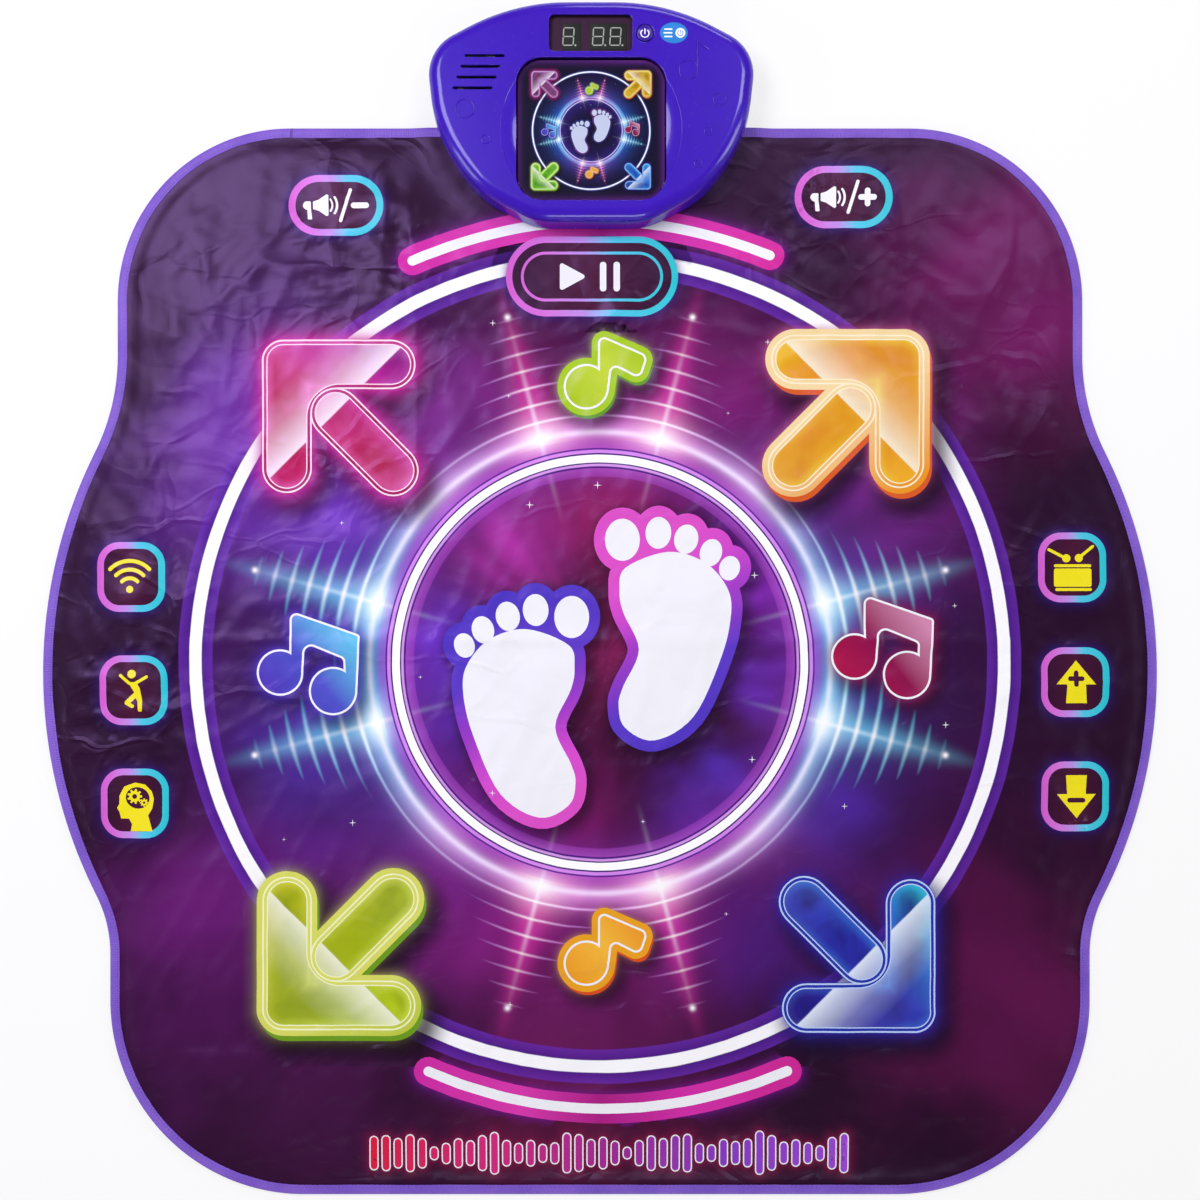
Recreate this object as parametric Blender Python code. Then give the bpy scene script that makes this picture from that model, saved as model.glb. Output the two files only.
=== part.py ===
# Electronic dance mat: a soft printed mat on a membrane switch, with a moulded control
# console clamped over the middle of its far edge.
# The frame is in metres, +Z up. The mat lies on z = 0, +X is to the dancer's right and
# +Y runs from the dancer to the console. The origin is the middle of the whole outline.

from math import acos, atan2, ceil, cos, pi, radians, sin, tan

import bmesh
import bpy
from mathutils import Vector

MM = 0.001
MERGE_DISTANCE = 0.01 * MM
SHARP_ANGLE = radians(35)

# Driving dimensions of the whole object
MAT_WIDTH = 903 * MM
OVERALL_LENGTH = 958 * MM
CONSOLE_LENGTH = 176.5 * MM
CONSOLE_HEIGHT = 36 * MM
CONSOLE_X = -7 * MM
MAT_FAR_EDGE = 385 * MM

MAT_NEAR_EDGE = -OVERALL_LENGTH / 2
CONSOLE_NEAR_EDGE = OVERALL_LENGTH / 2 - CONSOLE_LENGTH

# The mat's outline: straight sides with a broad lobe on each side
FAR_HALF_WIDTH = 391 * MM
NEAR_HALF_WIDTH = 397 * MM
LOBE_RADIUS = 400 * MM
LOBE_HALF_ANGLE = radians(26)
LOBE_MIDDLE_Y = -56 * MM
LOBE_APEX_X = MAT_WIDTH / 2 + LOBE_RADIUS * (1 / cos(LOBE_HALF_ANGLE) - 1)
FAR_CORNER_RADIUS = 140 * MM
NEAR_CORNER_RADIUS = 157 * MM
FAR_WAIST_RADIUS = 175 * MM
NEAR_WAIST_RADIUS = 105 * MM

# Layers of the mat, from the floor up: (underside, top)
FABRIC = 0.5 * MM
BOTTOM_FABRIC_LOW = 0.0
TOP_FABRIC_LOW = 3.6 * MM
LOWER_FILM_Z = (0.8 * MM, 1.0 * MM)
SPACER_Z = (1.3 * MM, 2.8 * MM)
UPPER_FILM_Z = (3.1 * MM, 3.3 * MM)
CONTACT_Z = (2.6 * MM, 2.8 * MM)
CONTACT_BUMP = 0.15 * MM

# The sewn edge: both fabrics come together inside a folded tape
EDGE_BOTTOM_FABRIC = 0.8 * MM
EDGE_TOP_FABRIC = 2.1 * MM
EDGE_HEIGHT = 3.4 * MM
TAPE_WIDTH = 8 * MM
TAPE_THICKNESS = 0.5 * MM
TAPE_CHAMFER = (0.6 * MM, 0.8 * MM)
TAPE_FOLD_INSET = 0.7 * MM
FABRIC_EDGE_INSET = 1.0 * MM
HEM_INSET = 9 * MM
RIM_INSET = 10 * MM
FABRIC_RAMP_INSET = 20 * MM
FILM_INSET = 24 * MM

# Under the console the sewn edge is lifted onto the console's base plate
CLAMP_LIFT = 2.5 * MM
CLAMP_HALF_WIDTH = 130 * MM
CLAMP_RAMP = 22 * MM
CLAMP_DEPTH = 60 * MM
TUCK_HALF_WIDTH = 62 * MM

# How far the layers dip towards the dancer there: at the clamp's middle part, at its ends
RIM_TUCK = (5 * MM, 7 * MM)
FIELD_TUCK = (19 * MM, 22 * MM)
FILM_TUCK = (22 * MM, 26 * MM)

# The film's flat tail, and the slot in the top fabric through which it enters the console
TAIL_WIDTH = 36 * MM
TAIL_THICKNESS = 0.2 * MM
TAIL_SLOT_V = 30 * MM
TAIL_SLOT = (40 * MM, 5 * MM)
TAIL_BOARD_Z = 11.5 * MM

# Console outline in its own frame: u across from its middle, v up from its near edge
CONSOLE_CORNERS = (
    (66 * MM, 0.0, 45 * MM),
    (125.3 * MM, 76 * MM, 60 * MM),
    (131.6 * MM, 136 * MM, 36 * MM),
    (61 * MM, CONSOLE_LENGTH, 170 * MM),
)
SHELL_WALL = 2.4 * MM
TOP_WALL = 3.0 * MM
EDGE_ROUND = 10 * MM
SHELL_DRAFT = 1.2 * MM
PARTING_Z = 6.2 * MM
PLATE_Z = (0.4 * MM, 2.2 * MM)
PLATE_INSET = 1.5 * MM
PLATE_CHAMFER = 0.6 * MM
BASE_WALL_INSETS = (1.3 * MM, 3.3 * MM)
BASE_WALL_START = 2.5 * MM
MESH_GAP = 0.3 * MM

# Underside of the top wall, from which the inner pieces hang
CEILING_Z = CONSOLE_HEIGHT - TOP_WALL

# How far a cutter runs past a face, and how deep a joined shape is sunk into its neighbour
CUT_PAST = 1 * MM
CUT_DEPTH = 8 * MM
SUNK = 0.5 * MM

# A flat shoulder of a turned piece rises by this much across its width
STEP = 0.05 * MM

# How far a chord may lie inside the arc that it stands for
MAT_SAG = 2.2 * MM
CONSOLE_SAG = 0.5 * MM
FINE_SAG = 0.3 * MM

# Sides of small round pieces, and of larger ones that show
ROUND_SIDES = 12
LARGE_ROUND_SIDES = 20

# Window over the lit panel, with a sloping crescent at each side
PANEL_V = 71.3 * MM
PANEL_WIDTH = 118.5 * MM
PANEL_HEIGHT = 112 * MM
PANEL_CORNER = 20 * MM
DISH_RADIUS = 71.3 * MM
DISH_DEPTH = 2.2 * MM
DISH_FLOOR_RADIUS = 57 * MM
DISH_HALF_HEIGHT = 42 * MM
LENS_SINK = 1.6 * MM
LENS_CHAMFER = 0.5 * MM
LENS_FLANGE = 2 * MM
LENS_FLANGE_THICKNESS = 1.2 * MM
PRINT_THICKNESS = 0.3 * MM
SKIRT_WALL = 1.3 * MM
SKIRT_LOW = 20 * MM

# Light box and lamp board under the printed sheet
LIGHT_BOX_LOW = 21.4 * MM
LIGHT_BOX_WALL = 2 * MM
LIGHT_BOX_SIDE_CELL = (30 * MM, 29 * MM)
LIGHT_BOX_CORNER = 18 * MM
LED_BOARD_Z = (19.9 * MM, 21.1 * MM)
LAMP_REACH = (42 * MM, 39 * MM)

# Number display, power button and speaker, all under the top wall
DISPLAY_CENTRE = (-0.4 * MM, 147 * MM)
DISPLAY_SIZE = (65 * MM, 28 * MM)
DISPLAY_CORNER = 4 * MM
DISPLAY_FLANGE = 1.5 * MM
DISPLAY_SINK = 1 * MM
DISPLAY_BOARD_Z = (24.2 * MM, 25.4 * MM)
DISPLAY_BOARD = (92 * MM, 22 * MM)
DISPLAY_BOARD_SHIFT = 8 * MM
BOARD_CORNER = 2 * MM
LEVEL_SHIFT = -15 * MM
SCORE_SHIFT = 14 * MM
DIGIT_BLOCK = (14.5 * MM, 21 * MM)
DIGIT_HALF = (4.2 * MM, 7 * MM)
SEGMENT_GAP = 1.1 * MM
SEGMENT_HALF_LINE = 0.75 * MM
SEGMENT_RISE = 0.2 * MM
BUTTON_CENTRE = (42.5 * MM, 146.6 * MM)
BUTTON_RADIUS = 6.5 * MM
BUTTON_CLEARANCE = 0.5 * MM
BUTTON_TRAVEL = 0.9 * MM
BUTTON_RISE = 0.3 * MM
BUTTON_FLANGE = 1.6 * MM
BUTTON_STEM_RADIUS = 2.5 * MM
BUTTON_STEM_LOW = 30.4 * MM
SWITCH_SIZE = (6 * MM, 6 * MM, 2.4 * MM)
PLUNGER_RADIUS = 1.6 * MM
SPEAKER_CENTRE = (-89 * MM, 116 * MM)
SPEAKER_RADIUS = 20 * MM
COLLAR_RADIUS = 21.5 * MM
COLLAR_DEPTH = 4 * MM
SLOT_LENGTH = 31.5 * MM
SLOT_WIDTH = 2.3 * MM
SLOT_PITCH = 8.5 * MM
SLOT_LEAN = 3.2 * MM
SLOT_COUNT = 4

# Raised rings on the top face: u, v and outer radius
RELIEF_RINGS = (
    (-99.7 * MM, 87.3 * MM, 7.9 * MM),
    (-83.3 * MM, 63 * MM, 4 * MM),
    (101.5 * MM, 94.4 * MM, 5.5 * MM),
    (92.6 * MM, 69.3 * MM, 3.6 * MM),
    (84.7 * MM, 43.8 * MM, 3.6 * MM),
)
RELIEF_HEIGHT = 0.5 * MM
RELIEF_LINE = 1.0 * MM
NOTE_CENTRE = (77 * MM, 122 * MM)
NOTE_HEAD_RADIUS = 8 * MM
NOTE_HEAD_DROP = 4 * MM
NOTE_STEM_SHIFT = 7 * MM
NOTE_STEM = (-3 * MM, 19 * MM)
NOTE_FLAG_REACH = 9 * MM
NOTE_FLAG_DROP = 7.5 * MM

# Battery box: three cells side by side along X, behind a hinged door
CELL_RADIUS = 7.1 * MM
CELL_LENGTH = 49.2 * MM
CELL_PITCH = 15 * MM
CELL_COUNT = 3
BATTERY_CENTRE = (0.0, 122 * MM)
BATTERY_ROOM = (58 * MM, 46 * MM)
BATTERY_BOX_TOP = 19.4 * MM
BOX_WALL = 1.6 * MM
ROOM_CORNER = 1 * MM
CELL_Z = 10.4 * MM
CELL_SHIFT = 1.5 * MM
CELL_ROUND = 0.6 * MM
CELL_CAP = (1.4 * MM, 2.6 * MM)
DOOR_OVERLAP = 4 * MM
DOOR_CORNER = 2 * MM
DOOR_LEDGE = 1.8 * MM
TONGUE_WIDTH = 11 * MM
TONGUE_CORNER = 5 * MM
TONGUE_PAST_SCREW = 6 * MM
DOOR_SCREW_PAST_BOX = 5 * MM
DOOR_BOSS_RADIUS = 3.4 * MM
DOOR_BOSS_TOP = 12 * MM
GROOVE_COUNT = 5
GROOVE_PITCH = 3 * MM
GROOVE_START = -18 * MM
GROOVE_SIZE = (1.2 * MM, 22 * MM, 0.8 * MM)

# Contact plates at the ends of the battery room, each with a coil or a dimple for each cell
PLATE_THICKNESS = 0.5 * MM
PLATE_HEIGHT = 11 * MM
PLATE_OFF_WALL = 0.6 * MM
DIMPLE_REACH = 2 * MM
DIMPLE_RADII = (2.6 * MM, 1.8 * MM)
SPRING_TURNS = 3
SPRING_POINTS_PER_TURN = 7
SPRING_LENGTH = 4.6 * MM
SPRING_RADII = (4.6 * MM, 2.4 * MM)
SPRING_WIRE = 0.35 * MM

# Screws that draw the base and the top shell together: u, v
CASE_SCREWS = (
    ("near_left", -72 * MM, 26 * MM),
    ("near_right", 72 * MM, 26 * MM),
    ("far_left", -110 * MM, 96 * MM),
    ("far_right", 110 * MM, 96 * MM),
)
BOSS_RADIUS = 4 * MM
BOSS_CLEARANCE = 1 * MM
POST_TOP = PARTING_Z - 0.1 * MM
SCREW_RADIUS = 1.3 * MM
HEAD_RADIUS = 2.7 * MM
HEAD_HEIGHT = 1.1 * MM
HEAD_ROUND = 0.5 * MM
CASE_SCREW_Z = (2 * MM, 17 * MM)
DOOR_SCREW_Z = (0.1 * MM, 7.5 * MM)
DOOR_SCREW_PLAY = 0.5 * MM
HEAD_POCKET_TOP = 3.4 * MM
DOOR_HEAD_POCKET_TOP = 1.5 * MM
PILOT_TOP = 20 * MM

FEET = (
    ("near_left", -44 * MM, 18 * MM),
    ("near_right", 44 * MM, 18 * MM),
    ("far_left", -78 * MM, 146 * MM),
    ("far_right", 78 * MM, 146 * MM),
)
FOOT_RADIUS = 5.5 * MM
FOOT_HEIGHT = 1 * MM
FOOT_ROUND = (0.4 * MM, 0.3 * MM)

# Main board on the plate that clamps the mat's edge: middle v, width, height
CLAMP_PLATE = (55 * MM, 104 * MM, 34 * MM)
CLAMP_PLATE_THICKNESS = 1.8 * MM
BOARD_POST_REACH = (46 * MM, 11 * MM)
BOARD_POST_RADIUS = 3 * MM
MAIN_BOARD = (52 * MM, 104 * MM, 42 * MM)
MAIN_BOARD_Z = (12 * MM, 13.4 * MM)

# The mat's touch zones in millimetres: name, x, y, length across, contact diameter
ZONES = (
    ("arrow_far_left", -212, 152, 56, 56),
    ("arrow_far_right", 201, 154, 56, 56),
    ("arrow_near_left", -208, -286, 56, 56),
    ("arrow_near_right", 208, -286, 56, 56),
    ("note_far", 4, 187, 40, 40),
    ("note_near", 6, -278, 40, 40),
    ("note_left", -236, -50, 40, 40),
    ("note_right", 231, -40, 40, 40),
    ("start", -6, 260, 80, 24),
    ("volume_down", -214, 322, 40, 24),
    ("volume_up", 197, 329, 40, 24),
    ("mode_left_far", -377, 22, 28, 28),
    ("mode_left_middle", -376, -69, 28, 28),
    ("mode_left_near", -375, -160, 28, 28),
    ("mode_right_far", 382, 30, 28, 28),
    ("mode_right_middle", 384, -63, 28, 28),
    ("mode_right_near", 384, -155, 28, 28),
)
ZONE_HOLE_MARGIN = 2 * MM
ZONE_END_STEPS = 4

# Turned profiles of the speaker and of a lamp: radius, height over the rim or the board
SPEAKER_BASKET = (
    (8.0, -13.0), (8.5, -12.5), (8.5, -7.5), (10.0, -7.4), (17.5, -2.0),
    (20.0, -1.95), (20.0, -0.8), (16.7, -0.8), (15.6, -2.2), (9.0, -6.2),
)
SPEAKER_CONE = (
    (5.0, -5.8), (9.0, -5.6), (15.4, -1.7), (16.2, -0.6), (15.4, -0.4),
    (14.0, -1.3), (8.0, -4.6), (5.0, -3.6), (2.0, -3.0),
)
LAMP = ((2.9, -0.6), (2.9, 1.3), (2.5, 1.35), (2.5, 4.4), (1.8, 5.9), (0.7, 6.5))

COLOURS = {
    "printed fabric": ((0.10, 0.03, 0.12), 0.45, 0.0),
    "backing fabric": ((0.03, 0.03, 0.035), 0.85, 0.0),
    "tape": ((0.24, 0.12, 0.58), 0.6, 0.0),
    "film": ((0.75, 0.75, 0.72), 0.3, 0.0),
    "foam": ((0.85, 0.85, 0.83), 0.9, 0.0),
    "carbon": ((0.03, 0.03, 0.03), 0.7, 0.0),
    "violet plastic": ((0.09, 0.02, 0.46), 0.18, 0.0),
    "black plastic": ((0.02, 0.02, 0.025), 0.5, 0.0),
    "white plastic": ((0.8, 0.8, 0.8), 0.5, 0.0),
    "smoked window": ((0.05, 0.01, 0.05), 0.1, 0.0),
    "clear window": ((0.7, 0.68, 0.75), 0.05, 0.0),
    "print": ((0.02, 0.015, 0.06), 0.4, 0.0),
    "board": ((0.02, 0.18, 0.07), 0.5, 0.0),
    "metal": ((0.7, 0.7, 0.7), 0.3, 1.0),
    "paper cone": ((0.05, 0.05, 0.05), 0.9, 0.0),
    "cell sleeve": ((0.05, 0.12, 0.3), 0.4, 0.0),
    "rubber": ((0.03, 0.03, 0.03), 0.9, 0.0),
}


# Scene and mesh helpers

def clear_scene():
    for obj in list(bpy.data.objects):
        bpy.data.objects.remove(obj)


def material(finish):
    """The Principled material of a named finish, made on first use."""
    made = bpy.data.materials.get(finish)
    if made:
        return made
    colour, roughness, metallic = COLOURS[finish]
    made = bpy.data.materials.new(finish)
    made.use_nodes = True
    shader = made.node_tree.nodes["Principled BSDF"]
    shader.inputs["Base Color"].default_value = (*colour, 1.0)
    shader.inputs["Roughness"].default_value = roughness
    shader.inputs["Metallic"].default_value = metallic
    return made


def new_object(name, bm, finish=None, origin=(0, 0, 0), smooth=False):
    """An object from a bmesh given in the object's world place, with its origin put at a point."""
    bmesh.ops.remove_doubles(bm, verts=bm.verts, dist=MERGE_DISTANCE)
    bmesh.ops.recalc_face_normals(bm, faces=bm.faces)
    bmesh.ops.translate(bm, verts=bm.verts, vec=-Vector(origin))
    mesh = bpy.data.meshes.new(name)
    bm.to_mesh(mesh)
    bm.free()
    obj = bpy.data.objects.new(name, mesh)
    obj.location = origin
    bpy.context.scene.collection.objects.link(obj)
    if finish:
        mesh.materials.append(material(finish))
    if smooth:
        mesh.shade_smooth()
        mesh.set_sharp_from_angle(angle=SHARP_ANGLE)
    return obj


def loft(rings, wrap=False):
    """Skin matched rings of points with quads. Capped at both ends, or joined end to end."""
    bm = bmesh.new()
    lines = [[bm.verts.new(point) for point in ring] for ring in rings]
    pairs = list(zip(lines, lines[1:]))
    if wrap:
        pairs.append((lines[-1], lines[0]))
    count = len(lines[0])
    for low, high in pairs:
        for i in range(count):
            j = (i + 1) % count
            bm.faces.new((low[i], low[j], high[j], high[i]))
    if not wrap:
        bm.faces.new(lines[0])
        bm.faces.new(lines[-1])
    return bm


def at_height(loop, z):
    return [(x, y, z) for x, y in loop]


def prism(loop, low, high):
    return loft([at_height(loop, low), at_height(loop, high)])


def circle(centre, radius, steps=ROUND_SIDES):
    turn = 2 * pi / steps
    return [
        (centre[0] + radius * cos(i * turn), centre[1] + radius * sin(i * turn))
        for i in range(steps)
    ]


def stadium(centre, length, width, steps):
    """A slot's outline: two half circles joined by straight sides along X."""
    radius = width / 2
    reach = (length - width) / 2
    loop = []
    for side, start in ((1, -pi / 2), (-1, pi / 2)):
        for i in range(steps + 1):
            angle = start + pi * i / steps
            loop.append(
                (
                    centre[0] + side * reach + radius * cos(angle),
                    centre[1] + radius * sin(angle),
                )
            )
    return loop


def rounded_loop(corners, inset=0.0, sag=FINE_SAG):
    """Outline through corners (x, y, radius), anticlockwise, each rounded by an arc and the
    whole moved inwards by inset. A corner on a straight side gives one point. An arc has as
    many chords as its own radius needs, so loops with different insets match."""
    loop = []
    count = len(corners)
    for i in range(count):
        before, here, after = (
            Vector(corners[k % count][:2]) for k in (i - 1, i, i + 1)
        )
        come = (here - before).normalized()
        go = (after - here).normalized()
        turn = atan2(come.cross(go), come.dot(go))
        inward = Vector((-come.y, come.x))
        if abs(turn) < radians(0.01):
            loop.append(tuple(here + inward * inset))
            continue
        bisector = (go - come).normalized()
        side = 1 if turn > 0 else -1
        corner = here + bisector * side * inset / cos(turn / 2)
        radius = corners[i][2] - side * inset
        step = 2 * acos(1 - sag / max(corners[i][2], 2 * sag))
        steps = 2 * max(1, ceil(abs(turn) / step / 2))
        centre = corner + bisector * radius / cos(turn / 2)
        start = -inward * side * radius
        for k in range(steps + 1):
            angle = turn * k / steps
            loop.append(
                (
                    centre.x + start.x * cos(angle) - start.y * sin(angle),
                    centre.y + start.x * sin(angle) + start.y * cos(angle),
                )
            )
    return loop


def rounded_box_loop(centre, width, height, radius, inset=0.0, sag=FINE_SAG):
    x, y = width / 2, height / 2
    corners = [
        (centre[0] + sx * x, centre[1] + sy * y, radius)
        for sx, sy in ((-1, -1), (1, -1), (1, 1), (-1, 1))
    ]
    return rounded_loop(corners, inset, sag)


def block(centre, size):
    """A plain box from its middle and its three sides."""
    bm = bmesh.new()
    bmesh.ops.create_cube(bm, size=1.0)
    bmesh.ops.scale(bm, verts=bm.verts, vec=size)
    bmesh.ops.translate(bm, verts=bm.verts, vec=centre)
    return bm


def lathe(centre, profile, steps=ROUND_SIDES):
    """A turned piece on a vertical axis from (radius, z) points, capped at both ends."""
    return loft([at_height(circle(centre, radius, steps), z) for radius, z in profile])


def cutter(name, bm):
    obj = new_object(name, bm)
    obj.hide_render = True
    obj.display_type = "WIRE"
    return obj


def combine(obj, operation, name, bm):
    """Cut or join a shape into an object with a Boolean that stays on it."""
    helper = cutter(name, bm)
    modifier = obj.modifiers.new(name, "BOOLEAN")
    modifier.operation = operation
    modifier.solver = "EXACT"
    modifier.object = helper


def cut(obj, name, bm):
    combine(obj, "DIFFERENCE", name, bm)


def join(obj, name, bm):
    combine(obj, "UNION", name, bm)


# The mat

def mat_corners():
    """The mat's outline corners, anticlockwise from the near right."""
    slope = tan(LOBE_HALF_ANGLE)
    far_waist_y = LOBE_MIDDLE_Y + (LOBE_APEX_X - FAR_HALF_WIDTH) / slope
    near_waist_y = LOBE_MIDDLE_Y - (LOBE_APEX_X - NEAR_HALF_WIDTH) / slope
    right = [
        (NEAR_HALF_WIDTH, MAT_NEAR_EDGE, NEAR_CORNER_RADIUS),
        (NEAR_HALF_WIDTH, near_waist_y, NEAR_WAIST_RADIUS),
        (LOBE_APEX_X, LOBE_MIDDLE_Y, LOBE_RADIUS),
        (FAR_HALF_WIDTH, far_waist_y, FAR_WAIST_RADIUS),
        (FAR_HALF_WIDTH, MAT_FAR_EDGE, FAR_CORNER_RADIUS),
    ]
    ramp_end = CLAMP_HALF_WIDTH + CLAMP_RAMP
    stations = (ramp_end, CLAMP_HALF_WIDTH, TUCK_HALF_WIDTH)
    far_side = [(CONSOLE_X + u, MAT_FAR_EDGE, 0.0) for u in stations]
    far_side += [(CONSOLE_X - u, MAT_FAR_EDGE, 0.0) for u in reversed(stations)]
    left = [(-x, y, radius) for x, y, radius in reversed(right)]
    return right + far_side + left


MAT_CORNERS = mat_corners()


def on_far_side(x, y):
    reach = CLAMP_HALF_WIDTH + CLAMP_RAMP + MM
    return y > MAT_FAR_EDGE - CLAMP_DEPTH and abs(x - CONSOLE_X) < reach


def mat_loop(inset, tuck=None):
    """The mat's outline moved inwards. Tuck gives how far the far side then dips towards the
    dancer beside the console: at the clamp's middle part and at its ends."""
    loop = rounded_loop(MAT_CORNERS, inset, MAT_SAG)
    if tuck is None:
        return loop
    deep, shallow = tuck
    dipped = []
    for x, y in loop:
        if on_far_side(x, y):
            u = abs(x - CONSOLE_X)
            if u < TUCK_HALF_WIDTH + MM:
                y = min(y, CONSOLE_NEAR_EDGE - deep)
            elif u < CLAMP_HALF_WIDTH + MM:
                y = min(y, CONSOLE_NEAR_EDGE + CLAMP_DEPTH - shallow)
        dipped.append((x, y))
    return dipped


def edge_lift(x, y):
    """How far the sewn edge is lifted where the console's base plate lies under it."""
    if not on_far_side(x, y):
        return 0.0
    return CLAMP_LIFT if abs(x - CONSOLE_X) < CLAMP_HALF_WIDTH + MM else 0.0


def edge_ring(loop, z, lifted):
    """A loop at the edge's height, lifted at the points that match the lifted stations."""
    return [(x, y, z + (CLAMP_LIFT if up else 0.0)) for (x, y), up in zip(loop, lifted)]


def fabric_sheet(name, finish, edge_z, flat_z):
    """One fabric: a flat field, a ramp round it, and a rim that runs into the tape."""
    outline = mat_loop(FABRIC_EDGE_INSET)
    lifted = [edge_lift(x, y) > 0 for x, y in outline]
    hem = mat_loop(HEM_INSET)
    rim = mat_loop(RIM_INSET, tuck=RIM_TUCK)
    field = mat_loop(FABRIC_RAMP_INSET, tuck=FIELD_TUCK)
    edge_rings = [
        edge_ring(loop, z, lifted)
        for z, loops in ((edge_z, (rim, hem, outline)), (edge_z + FABRIC, (outline, hem, rim)))
        for loop in loops
    ]
    rings = [at_height(field, flat_z), *edge_rings, at_height(field, flat_z + FABRIC)]
    sheet = new_object(name, loft(rings), finish)
    for label, u, v in CASE_SCREWS[:2]:
        hole = circle(console_point(u, v), BOSS_RADIUS + BOSS_CLEARANCE)
        cut(sheet, f"{name}_hole_{label}", prism(hole, -CUT_PAST, CUT_DEPTH))
    return sheet


def edge_binding():
    """The folded tape: a C profile of (inset, height) run round the outline."""
    top = EDGE_HEIGHT
    across, up = TAPE_CHAMFER
    profile = (
        (TAPE_WIDTH, 0.0),
        (across, 0.0),
        (0.0, up),
        (0.0, top - up),
        (across, top),
        (TAPE_WIDTH, top),
        (TAPE_WIDTH, top - TAPE_THICKNESS),
        (TAPE_FOLD_INSET, top - TAPE_THICKNESS),
        (TAPE_FOLD_INSET, TAPE_THICKNESS),
        (TAPE_WIDTH, TAPE_THICKNESS),
    )
    lifted = [edge_lift(x, y) > 0 for x, y in mat_loop(0.0)]
    rings = [edge_ring(mat_loop(inset), z, lifted) for inset, z in profile]
    return new_object("edge_binding", loft(rings, wrap=True), "tape")


def film_loop():
    return mat_loop(FILM_INSET, tuck=FILM_TUCK)


def zone_loop(zone, margin=0.0):
    x, y, length, width = (value * MM for value in zone[1:])
    return stadium((x, y), length + 2 * margin, width + 2 * margin, steps=ZONE_END_STEPS)


def membrane():
    """Lower film with its raised contacts, spacer foam with a hole at each zone, upper film."""
    lower = new_object("lower_film", prism(film_loop(), *LOWER_FILM_Z), "film")
    spacer = new_object("spacer_foam", prism(film_loop(), *SPACER_Z), "foam")
    new_object("upper_film", prism(film_loop(), *UPPER_FILM_Z), "film")
    top = LOWER_FILM_Z[1]
    for zone in ZONES:
        name = zone[0]
        bump = prism(zone_loop(zone), sum(LOWER_FILM_Z) / 2, top + CONTACT_BUMP)
        join(lower, f"{name}_lower_contact", bump)
        hole = prism(zone_loop(zone, ZONE_HOLE_MARGIN), 0.0, SPACER_Z[1] + CUT_PAST)
        cut(spacer, f"{name}_spacer_hole", hole)


def contacts():
    """The upper contact of each zone, which dips through the spacer when it is stepped on."""
    for zone in ZONES:
        middle = (zone[1] * MM, zone[2] * MM, CONTACT_Z[1])
        patch = prism(zone_loop(zone), *CONTACT_Z)
        new_object(f"contact_{zone[0]}", patch, "carbon", origin=middle)


def film_tail():
    """The film's flat tail: between the fabrics, up into the console and over to the board."""
    start = CONSOLE_NEAR_EDGE - FILM_TUCK[0] + MESH_GAP
    low = sum(UPPER_FILM_Z) / 2
    clamp = EDGE_BOTTOM_FABRIC + CLAMP_LIFT + FABRIC + MESH_GAP + TAIL_THICKNESS / 2
    slot = CONSOLE_NEAR_EDGE + TAIL_SLOT_V
    path = (
        (start, low),
        (start + 4 * MM, low),
        (CONSOLE_NEAR_EDGE - 4 * MM, clamp),
        (slot - 2 * MM, clamp),
        (slot, clamp + 1.5 * MM),
        (slot + 1 * MM, TAIL_BOARD_Z - 2.5 * MM),
        (slot + 3 * MM, TAIL_BOARD_Z),
        (slot + 9 * MM, TAIL_BOARD_Z),
    )
    half = TAIL_THICKNESS / 2
    over, under = [], []
    for i, (y, z) in enumerate(path):
        before = path[max(i - 1, 0)]
        after = path[min(i + 1, len(path) - 1)]
        along = Vector((after[0] - before[0], after[1] - before[1])).normalized()
        over.append((y - along.y * half, z + along.x * half))
        under.append((y + along.y * half, z - along.x * half))
    profile = over + under[::-1]
    rings = [
        [(CONSOLE_X + side * TAIL_WIDTH / 2, y, z) for y, z in profile] for side in (-1, 1)
    ]
    return new_object("film_tail", loft(rings), "film")


# The console

def console_point(u, v):
    return (CONSOLE_X + u, CONSOLE_NEAR_EDGE + v)


def console_loop(inset=0.0):
    right = [(*console_point(u, v), radius) for u, v, radius in CONSOLE_CORNERS]
    left = [(*console_point(-u, v), radius) for u, v, radius in reversed(CONSOLE_CORNERS)]
    return rounded_loop(right + left, inset, CONSOLE_SAG)


def edge_profile(wall, top, rounding, steps):
    """(inset, height) points of a shell's side and its rounded top edge, going up."""
    points = [(wall, PARTING_Z)]
    for i in range(steps + 1):
        angle = pi / 2 * i / steps
        points.append(
            (
                wall + SHELL_DRAFT + rounding * (1 - cos(angle)),
                top - rounding * (1 - sin(angle)),
            )
        )
    return points


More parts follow.
